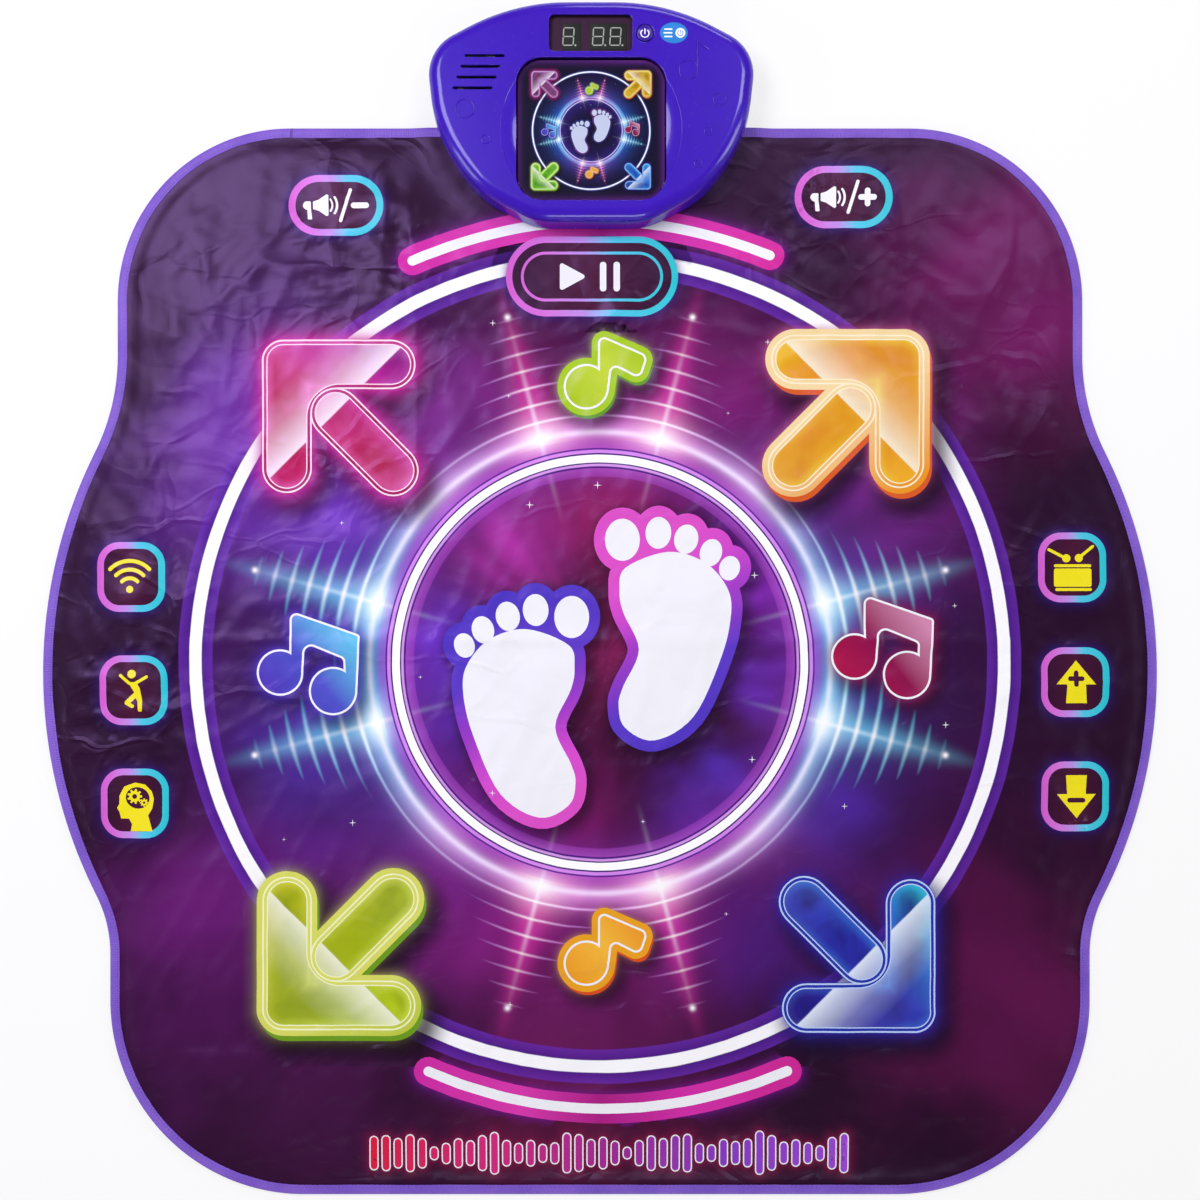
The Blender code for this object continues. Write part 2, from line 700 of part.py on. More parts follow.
def top_shell():
    """The violet upper housing: a hollow drafted shell with a broad rounded edge."""
    outer = edge_profile(0.0, CONSOLE_HEIGHT, EDGE_ROUND, steps=4)
    inner = edge_profile(SHELL_WALL, CEILING_Z, EDGE_ROUND - SHELL_WALL, steps=2)
    rings = [at_height(console_loop(inset), z) for inset, z in inner[::-1] + outer]
    shell = new_object("top_shell", loft(rings), "violet plastic", smooth=True)
    for label, u, v in CASE_SCREWS:
        place = console_point(u, v)
        boss = prism(circle(place, BOSS_RADIUS), POST_TOP + MESH_GAP, CEILING_Z + SUNK)
        join(shell, f"boss_{label}", boss)
        pilot = circle(place, SCREW_RADIUS + MESH_GAP)
        cut(shell, f"pilot_{label}", prism(pilot, 0.0, PILOT_TOP))
    cut(shell, "panel_dish", panel_dish())
    opening = rounded_box_loop(panel_centre(), PANEL_WIDTH, PANEL_HEIGHT, PANEL_CORNER)
    cut(shell, "panel_opening", through_top(opening))
    display_edge = rounded_box_loop(console_point(*DISPLAY_CENTRE), *DISPLAY_SIZE, DISPLAY_CORNER)
    cut(shell, "display_opening", through_top(display_edge))
    hole = circle(console_point(*BUTTON_CENTRE), BUTTON_RADIUS + BUTTON_CLEARANCE, LARGE_ROUND_SIDES)
    cut(shell, "button_hole", through_top(hole))
    for i in range(SLOT_COUNT):
        row = (SLOT_COUNT - 1) / 2 - i
        u, v = SPEAKER_CENTRE
        centre = console_point(u + row * SLOT_LEAN, v + row * SLOT_PITCH)
        slot = stadium(centre, SLOT_LENGTH, SLOT_WIDTH, steps=4)
        cut(shell, f"speaker_slot_{i + 1}", through_top(slot))
    join(shell, "panel_skirt", panel_skirt())
    join(shell, "speaker_collar", speaker_collar())
    for i, (u, v, radius) in enumerate(RELIEF_RINGS):
        join(shell, f"relief_ring_{i + 1}", relief_ring((u, v), radius))
    for i, piece in enumerate(relief_note()):
        join(shell, f"relief_note_{i + 1}", piece)
    return shell


def through_top(loop):
    """A cutter for an opening in the top wall."""
    return prism(loop, CONSOLE_HEIGHT - CUT_DEPTH, CONSOLE_HEIGHT + CUT_PAST)


def wall_ring(outer, inner, low, high):
    """A closed upright wall between two matched outlines."""
    corners = ((outer, low), (outer, high), (inner, high), (inner, low))
    return loft([at_height(loop, z) for loop, z in corners], wrap=True)


def panel_skirt():
    """The wall under the top face that holds the lens, the light box and the lamp board."""
    size = (PANEL_WIDTH, PANEL_HEIGHT, PANEL_CORNER)
    growth = LENS_FLANGE + MESH_GAP
    inside = rounded_box_loop(panel_centre(), *size, -growth)
    outside = rounded_box_loop(panel_centre(), *size, -growth - SKIRT_WALL)
    return wall_ring(outside, inside, SKIRT_LOW, CEILING_Z + SUNK)


def speaker_collar():
    """The round wall under the top face that the speaker sits in."""
    place = console_point(*SPEAKER_CENTRE)
    inside = circle(place, SPEAKER_RADIUS + MESH_GAP, LARGE_ROUND_SIDES)
    outside = circle(place, COLLAR_RADIUS, LARGE_ROUND_SIDES)
    return wall_ring(outside, inside, CEILING_Z - COLLAR_DEPTH, CEILING_Z + SUNK)


def panel_dish():
    """A shallow cone whose near and far ends are cut off, leaving a crescent at each side."""
    bm = bmesh.new()
    above = CUT_PAST
    slope = (DISH_RADIUS - DISH_FLOOR_RADIUS) / DISH_DEPTH
    bmesh.ops.create_cone(
        bm,
        cap_ends=True,
        segments=48,
        radius1=DISH_FLOOR_RADIUS,
        radius2=DISH_RADIUS + slope * above,
        depth=DISH_DEPTH + above,
    )
    middle = (DISH_DEPTH + above) / 2 - DISH_DEPTH
    centre = Vector((*panel_centre(), CONSOLE_HEIGHT + middle))
    bmesh.ops.translate(bm, verts=bm.verts, vec=centre)
    for side in (-1, 1):
        plane = centre + Vector((0, side * DISH_HALF_HEIGHT, 0))
        bmesh.ops.bisect_plane(
            bm,
            geom=bm.verts[:] + bm.edges[:] + bm.faces[:],
            plane_co=plane,
            plane_no=(0, side, 0),
            clear_outer=True,
        )
        bmesh.ops.holes_fill(bm, edges=[e for e in bm.edges if e.is_boundary])
    return bm


def relief_ring(centre, radius):
    place = console_point(*centre)
    outside = circle(place, radius)
    inside = circle(place, radius - RELIEF_LINE)
    return wall_ring(outside, inside, CONSOLE_HEIGHT - SUNK, CONSOLE_HEIGHT + RELIEF_HEIGHT)


def relief_note():
    """A quaver in raised line: a round head, a stem and a slanting flag."""
    u, v = NOTE_CENTRE
    low = CONSOLE_HEIGHT - SUNK
    high = CONSOLE_HEIGHT + RELIEF_HEIGHT
    x, y = console_point(u, v)
    stem_x = x + NOTE_STEM_SHIFT
    foot, tip = (y + end for end in NOTE_STEM)
    stem = block((stem_x, (foot + tip) / 2, (low + high) / 2), (RELIEF_LINE, tip - foot, high - low))
    root_x = stem_x - RELIEF_LINE / 2
    flag = [
        (root_x, tip + 0.4 * RELIEF_LINE),
        (root_x, tip - 1.4 * RELIEF_LINE),
        (stem_x + NOTE_FLAG_REACH, tip - NOTE_FLAG_DROP - 0.5 * RELIEF_LINE),
        (stem_x + NOTE_FLAG_REACH + 0.6 * RELIEF_LINE, tip - NOTE_FLAG_DROP + 0.9 * RELIEF_LINE),
    ]
    drop = RELIEF_HEIGHT / 5
    head = relief_ring((u, v - NOTE_HEAD_DROP), NOTE_HEAD_RADIUS)
    return head, stem, prism(flag, low - drop, high - drop)


def base_shell():
    """The lower housing: a plate under the mat's edge, a low wall beyond it, the battery box
    and the posts that the screws pass."""
    low, high = PLATE_Z
    sunk = (low + high) / 2
    rings = [
        at_height(console_loop(PLATE_INSET + PLATE_CHAMFER), low),
        at_height(console_loop(PLATE_INSET), low + PLATE_CHAMFER),
        at_height(console_loop(PLATE_INSET), high),
    ]
    shell = new_object("base_shell", loft(rings), "violet plastic")
    join(shell, "base_wall", base_wall(sunk))
    centre = console_point(*BATTERY_CENTRE)
    room_x, room_y = BATTERY_ROOM
    tub = rounded_box_loop(centre, room_x + 2 * BOX_WALL, room_y + 2 * BOX_WALL, BOX_WALL)
    join(shell, "battery_box", prism(tub, sunk, BATTERY_BOX_TOP))
    for label, u, v in CASE_SCREWS:
        post = prism(circle(console_point(u, v), BOSS_RADIUS), sunk, POST_TOP)
        join(shell, f"post_{label}", post)
    ledge_top = high + MESH_GAP + DOOR_LEDGE
    join(shell, "door_ledge", prism(door_loop(DOOR_LEDGE), sunk, ledge_top))
    screw_place = door_screw_place()
    boss = prism(circle(screw_place, DOOR_BOSS_RADIUS), ledge_top - SUNK, DOOR_BOSS_TOP)
    join(shell, "door_screw_boss", boss)
    cut(shell, "door_seat", prism(door_loop(MESH_GAP), -CUT_PAST, high + MESH_GAP))
    room = rounded_box_loop(centre, room_x, room_y, ROOM_CORNER)
    cut(shell, "battery_room", prism(room, -CUT_PAST, BATTERY_BOX_TOP - BOX_WALL))
    door_hole = circle(screw_place, SCREW_RADIUS + DOOR_SCREW_PLAY)
    cut(shell, "door_screw_hole", prism(door_hole, -CUT_PAST, DOOR_SCREW_Z[1] + CUT_PAST))
    for label, u, v in CASE_SCREWS:
        place = console_point(u, v)
        shank = circle(place, SCREW_RADIUS + MESH_GAP)
        cut(shell, f"shank_{label}", prism(shank, -CUT_PAST, CUT_DEPTH))
        head = circle(place, HEAD_RADIUS + MESH_GAP)
        cut(shell, f"head_{label}", prism(head, -CUT_PAST, HEAD_POCKET_TOP))
    for label, u, v in FEET:
        pocket = circle(console_point(u, v), FOOT_RADIUS + MESH_GAP)
        cut(shell, f"foot_pocket_{label}", prism(pocket, -CUT_PAST, FOOT_HEIGHT + MESH_GAP))
    return shell


def base_wall(low):
    """The wall that meets the top shell, only where no mat lies between the halves."""
    top = PARTING_Z - MESH_GAP
    outside, inside = (console_loop(inset) for inset in BASE_WALL_INSETS)
    bm = wall_ring(outside, inside, low, top)
    start = MAT_FAR_EDGE + BASE_WALL_START
    bmesh.ops.bisect_plane(
        bm,
        geom=bm.verts[:] + bm.edges[:] + bm.faces[:],
        plane_co=(0, start, 0),
        plane_no=(0, -1, 0),
        clear_outer=True,
    )
    bmesh.ops.holes_fill(bm, edges=[e for e in bm.edges if e.is_boundary])
    return bm


# The battery door and what it closes

def door_size():
    return BATTERY_ROOM[0] + 2 * DOOR_OVERLAP, BATTERY_ROOM[1] + 2 * DOOR_OVERLAP


def door_screw_place():
    """The screw stands outside the battery box, in a tongue on the door's right-hand end."""
    x, y = console_point(*BATTERY_CENTRE)
    return x + BATTERY_ROOM[0] / 2 + BOX_WALL + DOOR_SCREW_PAST_BOX, y


def door_loop(growth=0.0):
    """The door's outline: a rounded oblong with a round-ended tongue for the screw."""
    x, y = console_point(*BATTERY_CENTRE)
    width, height = door_size()
    left, right = x - width / 2, x + width / 2
    near, far = y - height / 2, y + height / 2
    tongue_near, tongue_far = y - TONGUE_WIDTH / 2, y + TONGUE_WIDTH / 2
    end = door_screw_place()[0] + TONGUE_PAST_SCREW
    corners = [
        (left, near, DOOR_CORNER),
        (right, near, DOOR_CORNER),
        (right, tongue_near, DOOR_CORNER),
        (end, tongue_near, TONGUE_CORNER),
        (end, tongue_far, TONGUE_CORNER),
        (right, tongue_far, DOOR_CORNER),
        (right, far, DOOR_CORNER),
        (left, far, DOOR_CORNER),
    ]
    return rounded_loop(corners, -growth)


def battery_door():
    """The door, hinged at its left end, with finger grooves in its outer face."""
    low, high = PLATE_Z
    x, y = console_point(*BATTERY_CENTRE)
    hinge = (x - door_size()[0] / 2, y, low)
    door = new_object("battery_door", prism(door_loop(), low, high), "violet plastic", origin=hinge)
    for i in range(GROOVE_COUNT):
        groove = block((x + GROOVE_START + i * GROOVE_PITCH, y, low), GROOVE_SIZE)
        cut(door, f"finger_groove_{i + 1}", groove)
    place = door_screw_place()
    shank = circle(place, SCREW_RADIUS + MESH_GAP)
    cut(door, "door_screw_clearance", prism(shank, -CUT_PAST, high + CUT_PAST))
    seat = circle(place, HEAD_RADIUS + MESH_GAP)
    cut(door, "door_screw_seat", prism(seat, -CUT_PAST, DOOR_HEAD_POCKET_TOP))
    return door


def screw(name, place, head_low, tip):
    """A pan-head screw pointing up."""
    head_high = head_low + HEAD_HEIGHT
    profile = (
        (HEAD_RADIUS - HEAD_ROUND, head_low),
        (HEAD_RADIUS, head_low + HEAD_ROUND),
        (HEAD_RADIUS, head_high),
        (SCREW_RADIUS, head_high + STEP),
        (SCREW_RADIUS, tip - SCREW_RADIUS),
        (SCREW_RADIUS / 4, tip),
    )
    return new_object(name, lathe(place, profile), "metal")


def screws_and_feet():
    for label, u, v in CASE_SCREWS:
        screw(f"case_screw_{label}", console_point(u, v), *CASE_SCREW_Z)
    screw("door_screw", door_screw_place(), *DOOR_SCREW_Z)
    across, up = FOOT_ROUND
    profile = ((FOOT_RADIUS - across, 0.0), (FOOT_RADIUS, up), (FOOT_RADIUS, FOOT_HEIGHT))
    for label, u, v in FEET:
        new_object(f"foot_{label}", lathe(console_point(u, v), profile), "rubber")


def cell_row(index):
    """The world y of a cell's axis, and which way its raised end points."""
    y = console_point(*BATTERY_CENTRE)[1] + (index - (CELL_COUNT - 1) / 2) * CELL_PITCH
    return y, 1 if index % 2 == 0 else -1


def along_x(profile, y, z, steps=ROUND_SIDES):
    """A turned piece on an axis along X from (x, radius) points."""
    turn = 2 * pi / steps
    rings = [
        [
            (x, y + radius * cos(i * turn), z + radius * sin(i * turn))
            for i in range(steps)
        ]
        for x, radius in profile
    ]
    return loft(rings)


def batteries():
    middle = console_point(*BATTERY_CENTRE)[0]
    half = CELL_LENGTH / 2
    cap_height, cap_radius = CELL_CAP
    shoulder = half - cap_height
    outline = (
        (-half, CELL_RADIUS - CELL_ROUND),
        (-half + CELL_ROUND, CELL_RADIUS),
        (shoulder - CELL_ROUND, CELL_RADIUS),
        (shoulder, CELL_RADIUS - CELL_ROUND),
        (shoulder + STEP, cap_radius + STEP),
        (half, cap_radius),
    )
    for i in range(CELL_COUNT):
        y, way = cell_row(i)
        profile = [(middle + way * (CELL_SHIFT + x), radius) for x, radius in outline]
        new_object(f"battery_cell_{i + 1}", along_x(profile, y, CELL_Z), "cell sleeve")


def contact_spring(name, plate, x, y, way):
    """A conical coil from the plate to the cell's flat end, joined to the plate."""
    count = SPRING_TURNS * SPRING_POINTS_PER_TURN
    wide, narrow = SPRING_RADII
    points = []
    for i in range(count + 1):
        share = i / count
        radius = wide + (narrow - wide) * share
        angle = 2 * pi * i / SPRING_POINTS_PER_TURN
        along = x + way * SPRING_LENGTH * share
        points.append((along, y + radius * cos(angle), CELL_Z + radius * sin(angle)))
    curve = bpy.data.curves.new(name, "CURVE")
    curve.dimensions = "3D"
    curve.bevel_depth = SPRING_WIRE
    curve.bevel_resolution = 1
    curve.use_fill_caps = True
    line = curve.splines.new("POLY")
    line.points.add(len(points) - 1)
    for point, place in zip(line.points, points):
        point.co = (*place, 1.0)
    helper = bpy.data.objects.new(name, curve)
    bpy.context.scene.collection.objects.link(helper)
    bpy.context.view_layer.update()
    graph = bpy.context.evaluated_depsgraph_get()
    bm = bmesh.new()
    bm.from_mesh(helper.evaluated_get(graph).to_mesh())
    bpy.data.objects.remove(helper)
    join(plate, name, bm)


def contact_plates():
    """Sprung plates at both ends of the battery room. A wide one bridges two cells."""
    middle = console_point(*BATTERY_CENTRE)[0]
    room = BATTERY_ROOM[0] / 2
    plates = (
        ("contact_plate_left_bridge", -1, (0, 1)),
        ("contact_plate_left_single", -1, (2,)),
        ("contact_plate_right_single", 1, (0,)),
        ("contact_plate_right_bridge", 1, (1, 2)),
    )
    for name, side, cells in plates:
        rows = [cell_row(i)[0] for i in cells]
        x = middle + side * (room - PLATE_OFF_WALL)
        y = sum(rows) / len(rows)
        width = (len(rows) - 1) * CELL_PITCH + PLATE_HEIGHT
        body = block((x, y, CELL_Z), (PLATE_THICKNESS, width, PLATE_HEIGHT))
        plate = new_object(name, body, "metal")
        for i in cells:
            row, way = cell_row(i)
            if way == side:
                ends = (x + side * PLATE_THICKNESS / 5, x - side * DIMPLE_REACH)
                dimple = along_x(list(zip(ends, DIMPLE_RADII)), row, CELL_Z)
                join(plate, f"{name}_dimple_{i + 1}", dimple)
            else:
                contact_spring(f"{name}_spring_{i + 1}", plate, x, row, -side)


# The lit panel

def panel_centre():
    return console_point(0, PANEL_V)


def panel_stack():
    """From the top: lens in its opening, printed sheet, light box, lamp board and lamps."""
    flange_top = CEILING_Z - MESH_GAP
    size = (PANEL_WIDTH, PANEL_HEIGHT, PANEL_CORNER)
    rings = [
        at_height(rounded_box_loop(panel_centre(), *size, inset), z)
        for inset, z in (
            (-LENS_FLANGE, flange_top - LENS_FLANGE_THICKNESS),
            (-LENS_FLANGE, flange_top),
            (MESH_GAP, flange_top + STEP),
            (MESH_GAP, CONSOLE_HEIGHT - LENS_SINK - LENS_CHAMFER),
            (MESH_GAP + LENS_CHAMFER, CONSOLE_HEIGHT - LENS_SINK),
        )
    ]
    new_object("panel_lens", loft(rings), "clear window")
    sheet_top = flange_top - LENS_FLANGE_THICKNESS - MESH_GAP
    sheet_low = sheet_top - PRINT_THICKNESS
    sheet = rounded_box_loop(panel_centre(), *size, LIGHT_BOX_WALL / 2)
    new_object("panel_print", prism(sheet, sheet_low, sheet_top), "print")
    light_box(LIGHT_BOX_LOW, sheet_low - MESH_GAP)
    lamp_board()


def lamp_board():
    """The board under the light box, with a lamp standing in each corner cell."""
    x, y = panel_centre()
    width, height = PANEL_WIDTH - 2 * LIGHT_BOX_WALL, PANEL_HEIGHT - 2 * LIGHT_BOX_WALL
    outline = rounded_box_loop((x, y), width, height, LIGHT_BOX_CORNER)
    board = new_object("led_board", prism(outline, *LED_BOARD_Z), "board")
    profile = [(radius * MM, LED_BOARD_Z[1] + rise * MM) for radius, rise in LAMP]
    for far, side_y in (("far", 1), ("near", -1)):
        for side, side_x in (("left", -1), ("right", 1)):
            place = (x + side_x * LAMP_REACH[0], y + side_y * LAMP_REACH[1])
            join(board, f"lamp_{far}_{side}", lathe(place, profile, 8))


def light_box(low, high):
    """A white grid of nine cells that keeps each lamp's light under its own picture."""
    x, y = panel_centre()
    wall = LIGHT_BOX_WALL
    width, height = PANEL_WIDTH - wall, PANEL_HEIGHT - wall
    outline = rounded_box_loop((x, y), width, height, LIGHT_BOX_CORNER)
    box = new_object("light_box", prism(outline, low, high), "white plastic")
    side_w, side_h = LIGHT_BOX_SIDE_CELL
    middle_w = width - 2 * side_w - 4 * wall
    middle_h = height - 2 * side_h - 4 * wall
    columns = ((-1, side_w), (0, middle_w), (1, side_w))
    rows = ((-1, side_h), (0, middle_h), (1, side_h))
    for i, cell_w in columns:
        for j, cell_h in rows:
            cell_x = x + i * (middle_w + side_w + 2 * wall) / 2
            cell_y = y + j * (middle_h + side_h + 2 * wall) / 2
            corner = LIGHT_BOX_CORNER / 2 if i and j else LIGHT_BOX_WALL
            hole = rounded_box_loop((cell_x, cell_y), cell_w, cell_h, corner)
            cut(box, f"cell_{i + 2}{j + 2}", prism(hole, low - CUT_PAST, high + CUT_PAST))


# Display, button, speaker and boards

def display():
    """The smoked window, the two figure blocks under it and the board that carries them."""
    flange_top = CEILING_Z - MESH_GAP
    flange_low = flange_top - DISPLAY_SINK
    centre = console_point(*DISPLAY_CENTRE)
    size = (*DISPLAY_SIZE, DISPLAY_CORNER)
    rings = [
        at_height(rounded_box_loop(centre, *size, inset), z)
        for inset, z in (
            (-DISPLAY_FLANGE, flange_low),
            (-DISPLAY_FLANGE, flange_top),
            (MESH_GAP, flange_top + STEP),
            (MESH_GAP, CONSOLE_HEIGHT - DISPLAY_SINK),
        )
    ]
    new_object("display_window", loft(rings), "smoked window")
    x, y = centre
    digit_module("level_digit", (x + LEVEL_SHIFT, y), flange_low - MESH_GAP, 1)
    digit_module("score_digits", (x + SCORE_SHIFT, y), flange_low - MESH_GAP, 2)
    outline = rounded_box_loop((x + DISPLAY_BOARD_SHIFT, y), *DISPLAY_BOARD, BOARD_CORNER)
    new_object("display_board", prism(outline, *DISPLAY_BOARD_Z), "board")


def digit_module(name, centre, top, count):
    """A seven-segment block. Each figure has seven raised bars, all of them unlit."""
    pitch, height = DIGIT_BLOCK
    low = DISPLAY_BOARD_Z[1] + MESH_GAP
    face = top - SEGMENT_RISE
    body = block((*centre, (low + face) / 2), (pitch * count, height, face - low))
    module = new_object(name, body, "black plastic")
    half_w, half_h = DIGIT_HALF
    bars = (
        ((0, 1), True), ((0, 0), True), ((0, -1), True),
        ((-1, 0.5), False), ((1, 0.5), False), ((-1, -0.5), False), ((1, -0.5), False),
    )
    for digit in range(count):
        x = centre[0] + (digit - (count - 1) / 2) * pitch
        for k, ((across, up), level) in enumerate(bars):
            place = (x + across * half_w, centre[1] + up * half_h)
            length = (2 * half_w if level else half_h) - SEGMENT_GAP
            bar = segment_bar(place, length, level)
            join(module, f"{name}_{digit}_{k}", prism(bar, face - SEGMENT_RISE, top))


def segment_bar(centre, length, level):
    """A display segment: a bar with pointed ends."""
    half, thick = length / 2, SEGMENT_HALF_LINE
    shape = [(-half, 0), (-half + thick, -thick), (half - thick, -thick),
             (half, 0), (half - thick, thick), (-half + thick, thick)]
    if not level:
        shape = [(-y, x) for x, y in shape]
    return [(centre[0] + x, centre[1] + y) for x, y in shape]


def power_button():
    """The round key with its stem, flange and dished top, over the switch that it presses."""
    top = CONSOLE_HEIGHT + BUTTON_RISE
    flange_top = CEILING_Z - MESH_GAP
    flange_low = BUTTON_STEM_LOW + BUTTON_FLANGE * 3 / 4
    bevel = 0.7 * MM
    place = console_point(*BUTTON_CENTRE)
    profile = (
        (BUTTON_STEM_RADIUS, BUTTON_STEM_LOW),
        (BUTTON_STEM_RADIUS, flange_low),
        (BUTTON_RADIUS + BUTTON_FLANGE, flange_low + STEP),
        (BUTTON_RADIUS + BUTTON_FLANGE, flange_top),
        (BUTTON_RADIUS, flange_top + STEP),
        (BUTTON_RADIUS, top - bevel),
        (BUTTON_RADIUS - bevel, top),
        (BUTTON_RADIUS - 3 * bevel, top - bevel / 3),
    )
    button = lathe(place, profile, LARGE_ROUND_SIDES)
    new_object("power_button", button, "violet plastic", origin=(*place, CEILING_Z), smooth=True)
    low = DISPLAY_BOARD_Z[1] + MESH_GAP
    body_top = low + SWITCH_SIZE[2]
    body = block((*place, (low + body_top) / 2), SWITCH_SIZE)
    switch = new_object("power_switch", body, "black plastic")
    tip = BUTTON_STEM_LOW - BUTTON_TRAVEL - MESH_GAP
    plunger = prism(circle(place, PLUNGER_RADIUS), body_top - SUNK, tip)
    join(switch, "switch_plunger", plunger)


def speaker():
    """A small loudspeaker hung face up under the slots: basket with magnet, and its cone."""
    place = console_point(*SPEAKER_CENTRE)
    rim = CEILING_Z - MESH_GAP
    for name, shape, finish in (
        ("speaker_basket", SPEAKER_BASKET, "metal"),
        ("speaker_cone", SPEAKER_CONE, "paper cone"),
    ):
        profile = [(radius * MM, rim + rise * MM) for radius, rise in shape]
        new_object(name, lathe(place, profile, LARGE_ROUND_SIDES), finish)


def clamp_plate():
    """The plate that presses the mat's edge onto the base and carries the main board."""
    v, width, height = CLAMP_PLATE
    x, y = console_point(0, v)
    low = EDGE_TOP_FABRIC + CLAMP_LIFT + FABRIC + MESH_GAP
    outline = rounded_box_loop((x, y), width, height, 2 * BOARD_CORNER)
    body = prism(outline, low, low + CLAMP_PLATE_THICKNESS)
    plate = new_object("clamp_plate", body, "black plastic")
    for side_x, side_y in ((-1, -1), (1, -1), (1, 1), (-1, 1)):
        place = (x + side_x * BOARD_POST_REACH[0], y + side_y * BOARD_POST_REACH[1])
        post = circle(place, BOARD_POST_RADIUS)
        top = MAIN_BOARD_Z[0] - MESH_GAP
        join(plate, f"board_post_{side_x}_{side_y}", prism(post, low + SUNK, top))
    return plate


def main_board():
    """The main circuit board over the mat's tail, with its connector and chip."""
    v, width, height = MAIN_BOARD
    x, y = console_point(0, v)
    outline = rounded_box_loop((x, y), width, height, BOARD_CORNER)
    board = new_object("main_board", prism(outline, *MAIN_BOARD_Z), "board")
    low = MAIN_BOARD_Z[1] - SUNK
    chip = rounded_box_loop((x + 14 * MM, y + 2 * MM), 12 * MM, 12 * MM, SUNK)
    capacitor = circle((x - 26 * MM, y + 6 * MM), 4 * MM)
    plug = rounded_box_loop((x - 42 * MM, y + 12 * MM), 7 * MM, 5 * MM, SUNK)
    for name, loop, rise in (
        ("chip", chip, 1.6 * MM),
        ("capacitor", capacitor, 5.2 * MM),
        ("speaker_plug", plug, 3.6 * MM),
    ):
        join(board, name, prism(loop, low, MAIN_BOARD_Z[1] + rise))


def build():
    clear_scene()
    fabric_sheet("bottom_fabric", "backing fabric", EDGE_BOTTOM_FABRIC, BOTTOM_FABRIC_LOW)
    top = fabric_sheet("top_fabric", "printed fabric", EDGE_TOP_FABRIC, TOP_FABRIC_LOW)
    slot = (*console_point(0, TAIL_SLOT_V), EDGE_TOP_FABRIC + CLAMP_LIFT)
    cut(top, "tail_slot", block(slot, (*TAIL_SLOT, CUT_DEPTH)))
    edge_binding()
    membrane()
    contacts()
    film_tail()
    top_shell()
    base_shell()
    battery_door()
    screws_and_feet()
    batteries()
    contact_plates()
    panel_stack()
    display()
    power_button()
    speaker()
    clamp_plate()
    main_board()


build()
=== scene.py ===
import random
from math import acos, atan2, ceil, cos, hypot, pi, radians, sin, sqrt, tan

import bmesh
import bpy
import numpy as np
from mathutils import Matrix, Vector, geometry, noise


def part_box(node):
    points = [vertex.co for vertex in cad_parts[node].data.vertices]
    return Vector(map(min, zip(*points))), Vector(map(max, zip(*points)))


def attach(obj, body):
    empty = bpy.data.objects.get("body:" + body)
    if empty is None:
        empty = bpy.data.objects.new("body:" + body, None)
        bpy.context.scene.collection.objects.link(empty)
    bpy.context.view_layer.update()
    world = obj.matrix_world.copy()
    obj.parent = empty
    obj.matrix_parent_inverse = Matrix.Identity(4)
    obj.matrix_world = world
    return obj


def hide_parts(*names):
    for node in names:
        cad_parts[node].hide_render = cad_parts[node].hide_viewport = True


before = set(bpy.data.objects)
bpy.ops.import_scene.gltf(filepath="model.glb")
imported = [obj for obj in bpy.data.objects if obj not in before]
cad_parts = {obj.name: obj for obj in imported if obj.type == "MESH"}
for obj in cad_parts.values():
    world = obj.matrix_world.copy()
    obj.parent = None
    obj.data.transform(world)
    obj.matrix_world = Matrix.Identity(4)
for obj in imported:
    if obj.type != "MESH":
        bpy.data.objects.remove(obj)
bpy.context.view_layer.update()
up = Vector((0, 0, 1))


# Small helpers

def nodeBox(name):  # the box of a node of the frame, in millimetres
    low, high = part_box(name)
    return low * 1000, high * 1000


def ink(code):  # a written colour as linear red, green, blue, alpha
    parts = [int(code[i:i + 2], 16) / 255 for i in (1, 3, 5)]
    return (*[p / 12.92 if p <= 0.04045 else ((p + 0.055) / 1.055) ** 2.4 for p in parts], 1.0)


def smooth(low, high, value):
    share = np.clip((value - low) / (high - low), 0.0, 1.0)
    return share * share * (3 - 2 * share)


def newPiece(name, bm, materials, body="root", replaces=(), sharp=None):
    bmesh.ops.scale(bm, verts=bm.verts, vec=(0.001, 0.001, 0.001))
    mesh = bpy.data.meshes.new(name)
    bm.to_mesh(mesh)
    bm.free()
    for material in materials:
        mesh.materials.append(material)
    if sharp is not None:
        mesh.shade_smooth()
        mesh.set_sharp_from_angle(angle=radians(sharp))
    piece = bpy.data.objects.new(name, mesh)
    bpy.context.scene.collection.objects.link(piece)
    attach(piece, body)
    if replaces:
        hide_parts(*replaces)
    return piece


def everything(bm):
    return bm.verts[:] + bm.edges[:] + bm.faces[:]


def roundedLoop(corners, inset=0.0, sag=0.04):  # corners are x, y and radius, anticlockwise
    loop = []
    count = len(corners)
    for i in range(count):
        before, here, after = (Vector(corners[k % count][:2]) for k in (i - 1, i, i + 1))
        come = (here - before).normalized()
        go = (after - here).normalized()
        turn = atan2(come.cross(go), come.dot(go))
        inward = Vector((-come.y, come.x))
        side = 1 if turn > 0 else -1
        radius = corners[i][2] - side * inset
        if abs(turn) < 0.001:
            loop.append(tuple(here + inward * inset))
            continue
        bisector = (go - come).normalized()
        corner = here + bisector * side * inset / cos(turn / 2)
        if radius <= 0.01:
            loop.append(tuple(corner))
            continue
        steps = max(1, ceil(abs(turn) / (2 * acos(1 - min(0.5, sag / max(corners[i][2], 0.1))))))
        centre = corner + bisector * radius / cos(turn / 2)
        start = -inward * side * radius
        for k in range(steps + 1):
            angle = turn * k / steps
            loop.append((centre.x + start.x * cos(angle) - start.y * sin(angle),
                         centre.y + start.x * sin(angle) + start.y * cos(angle)))
    return loop


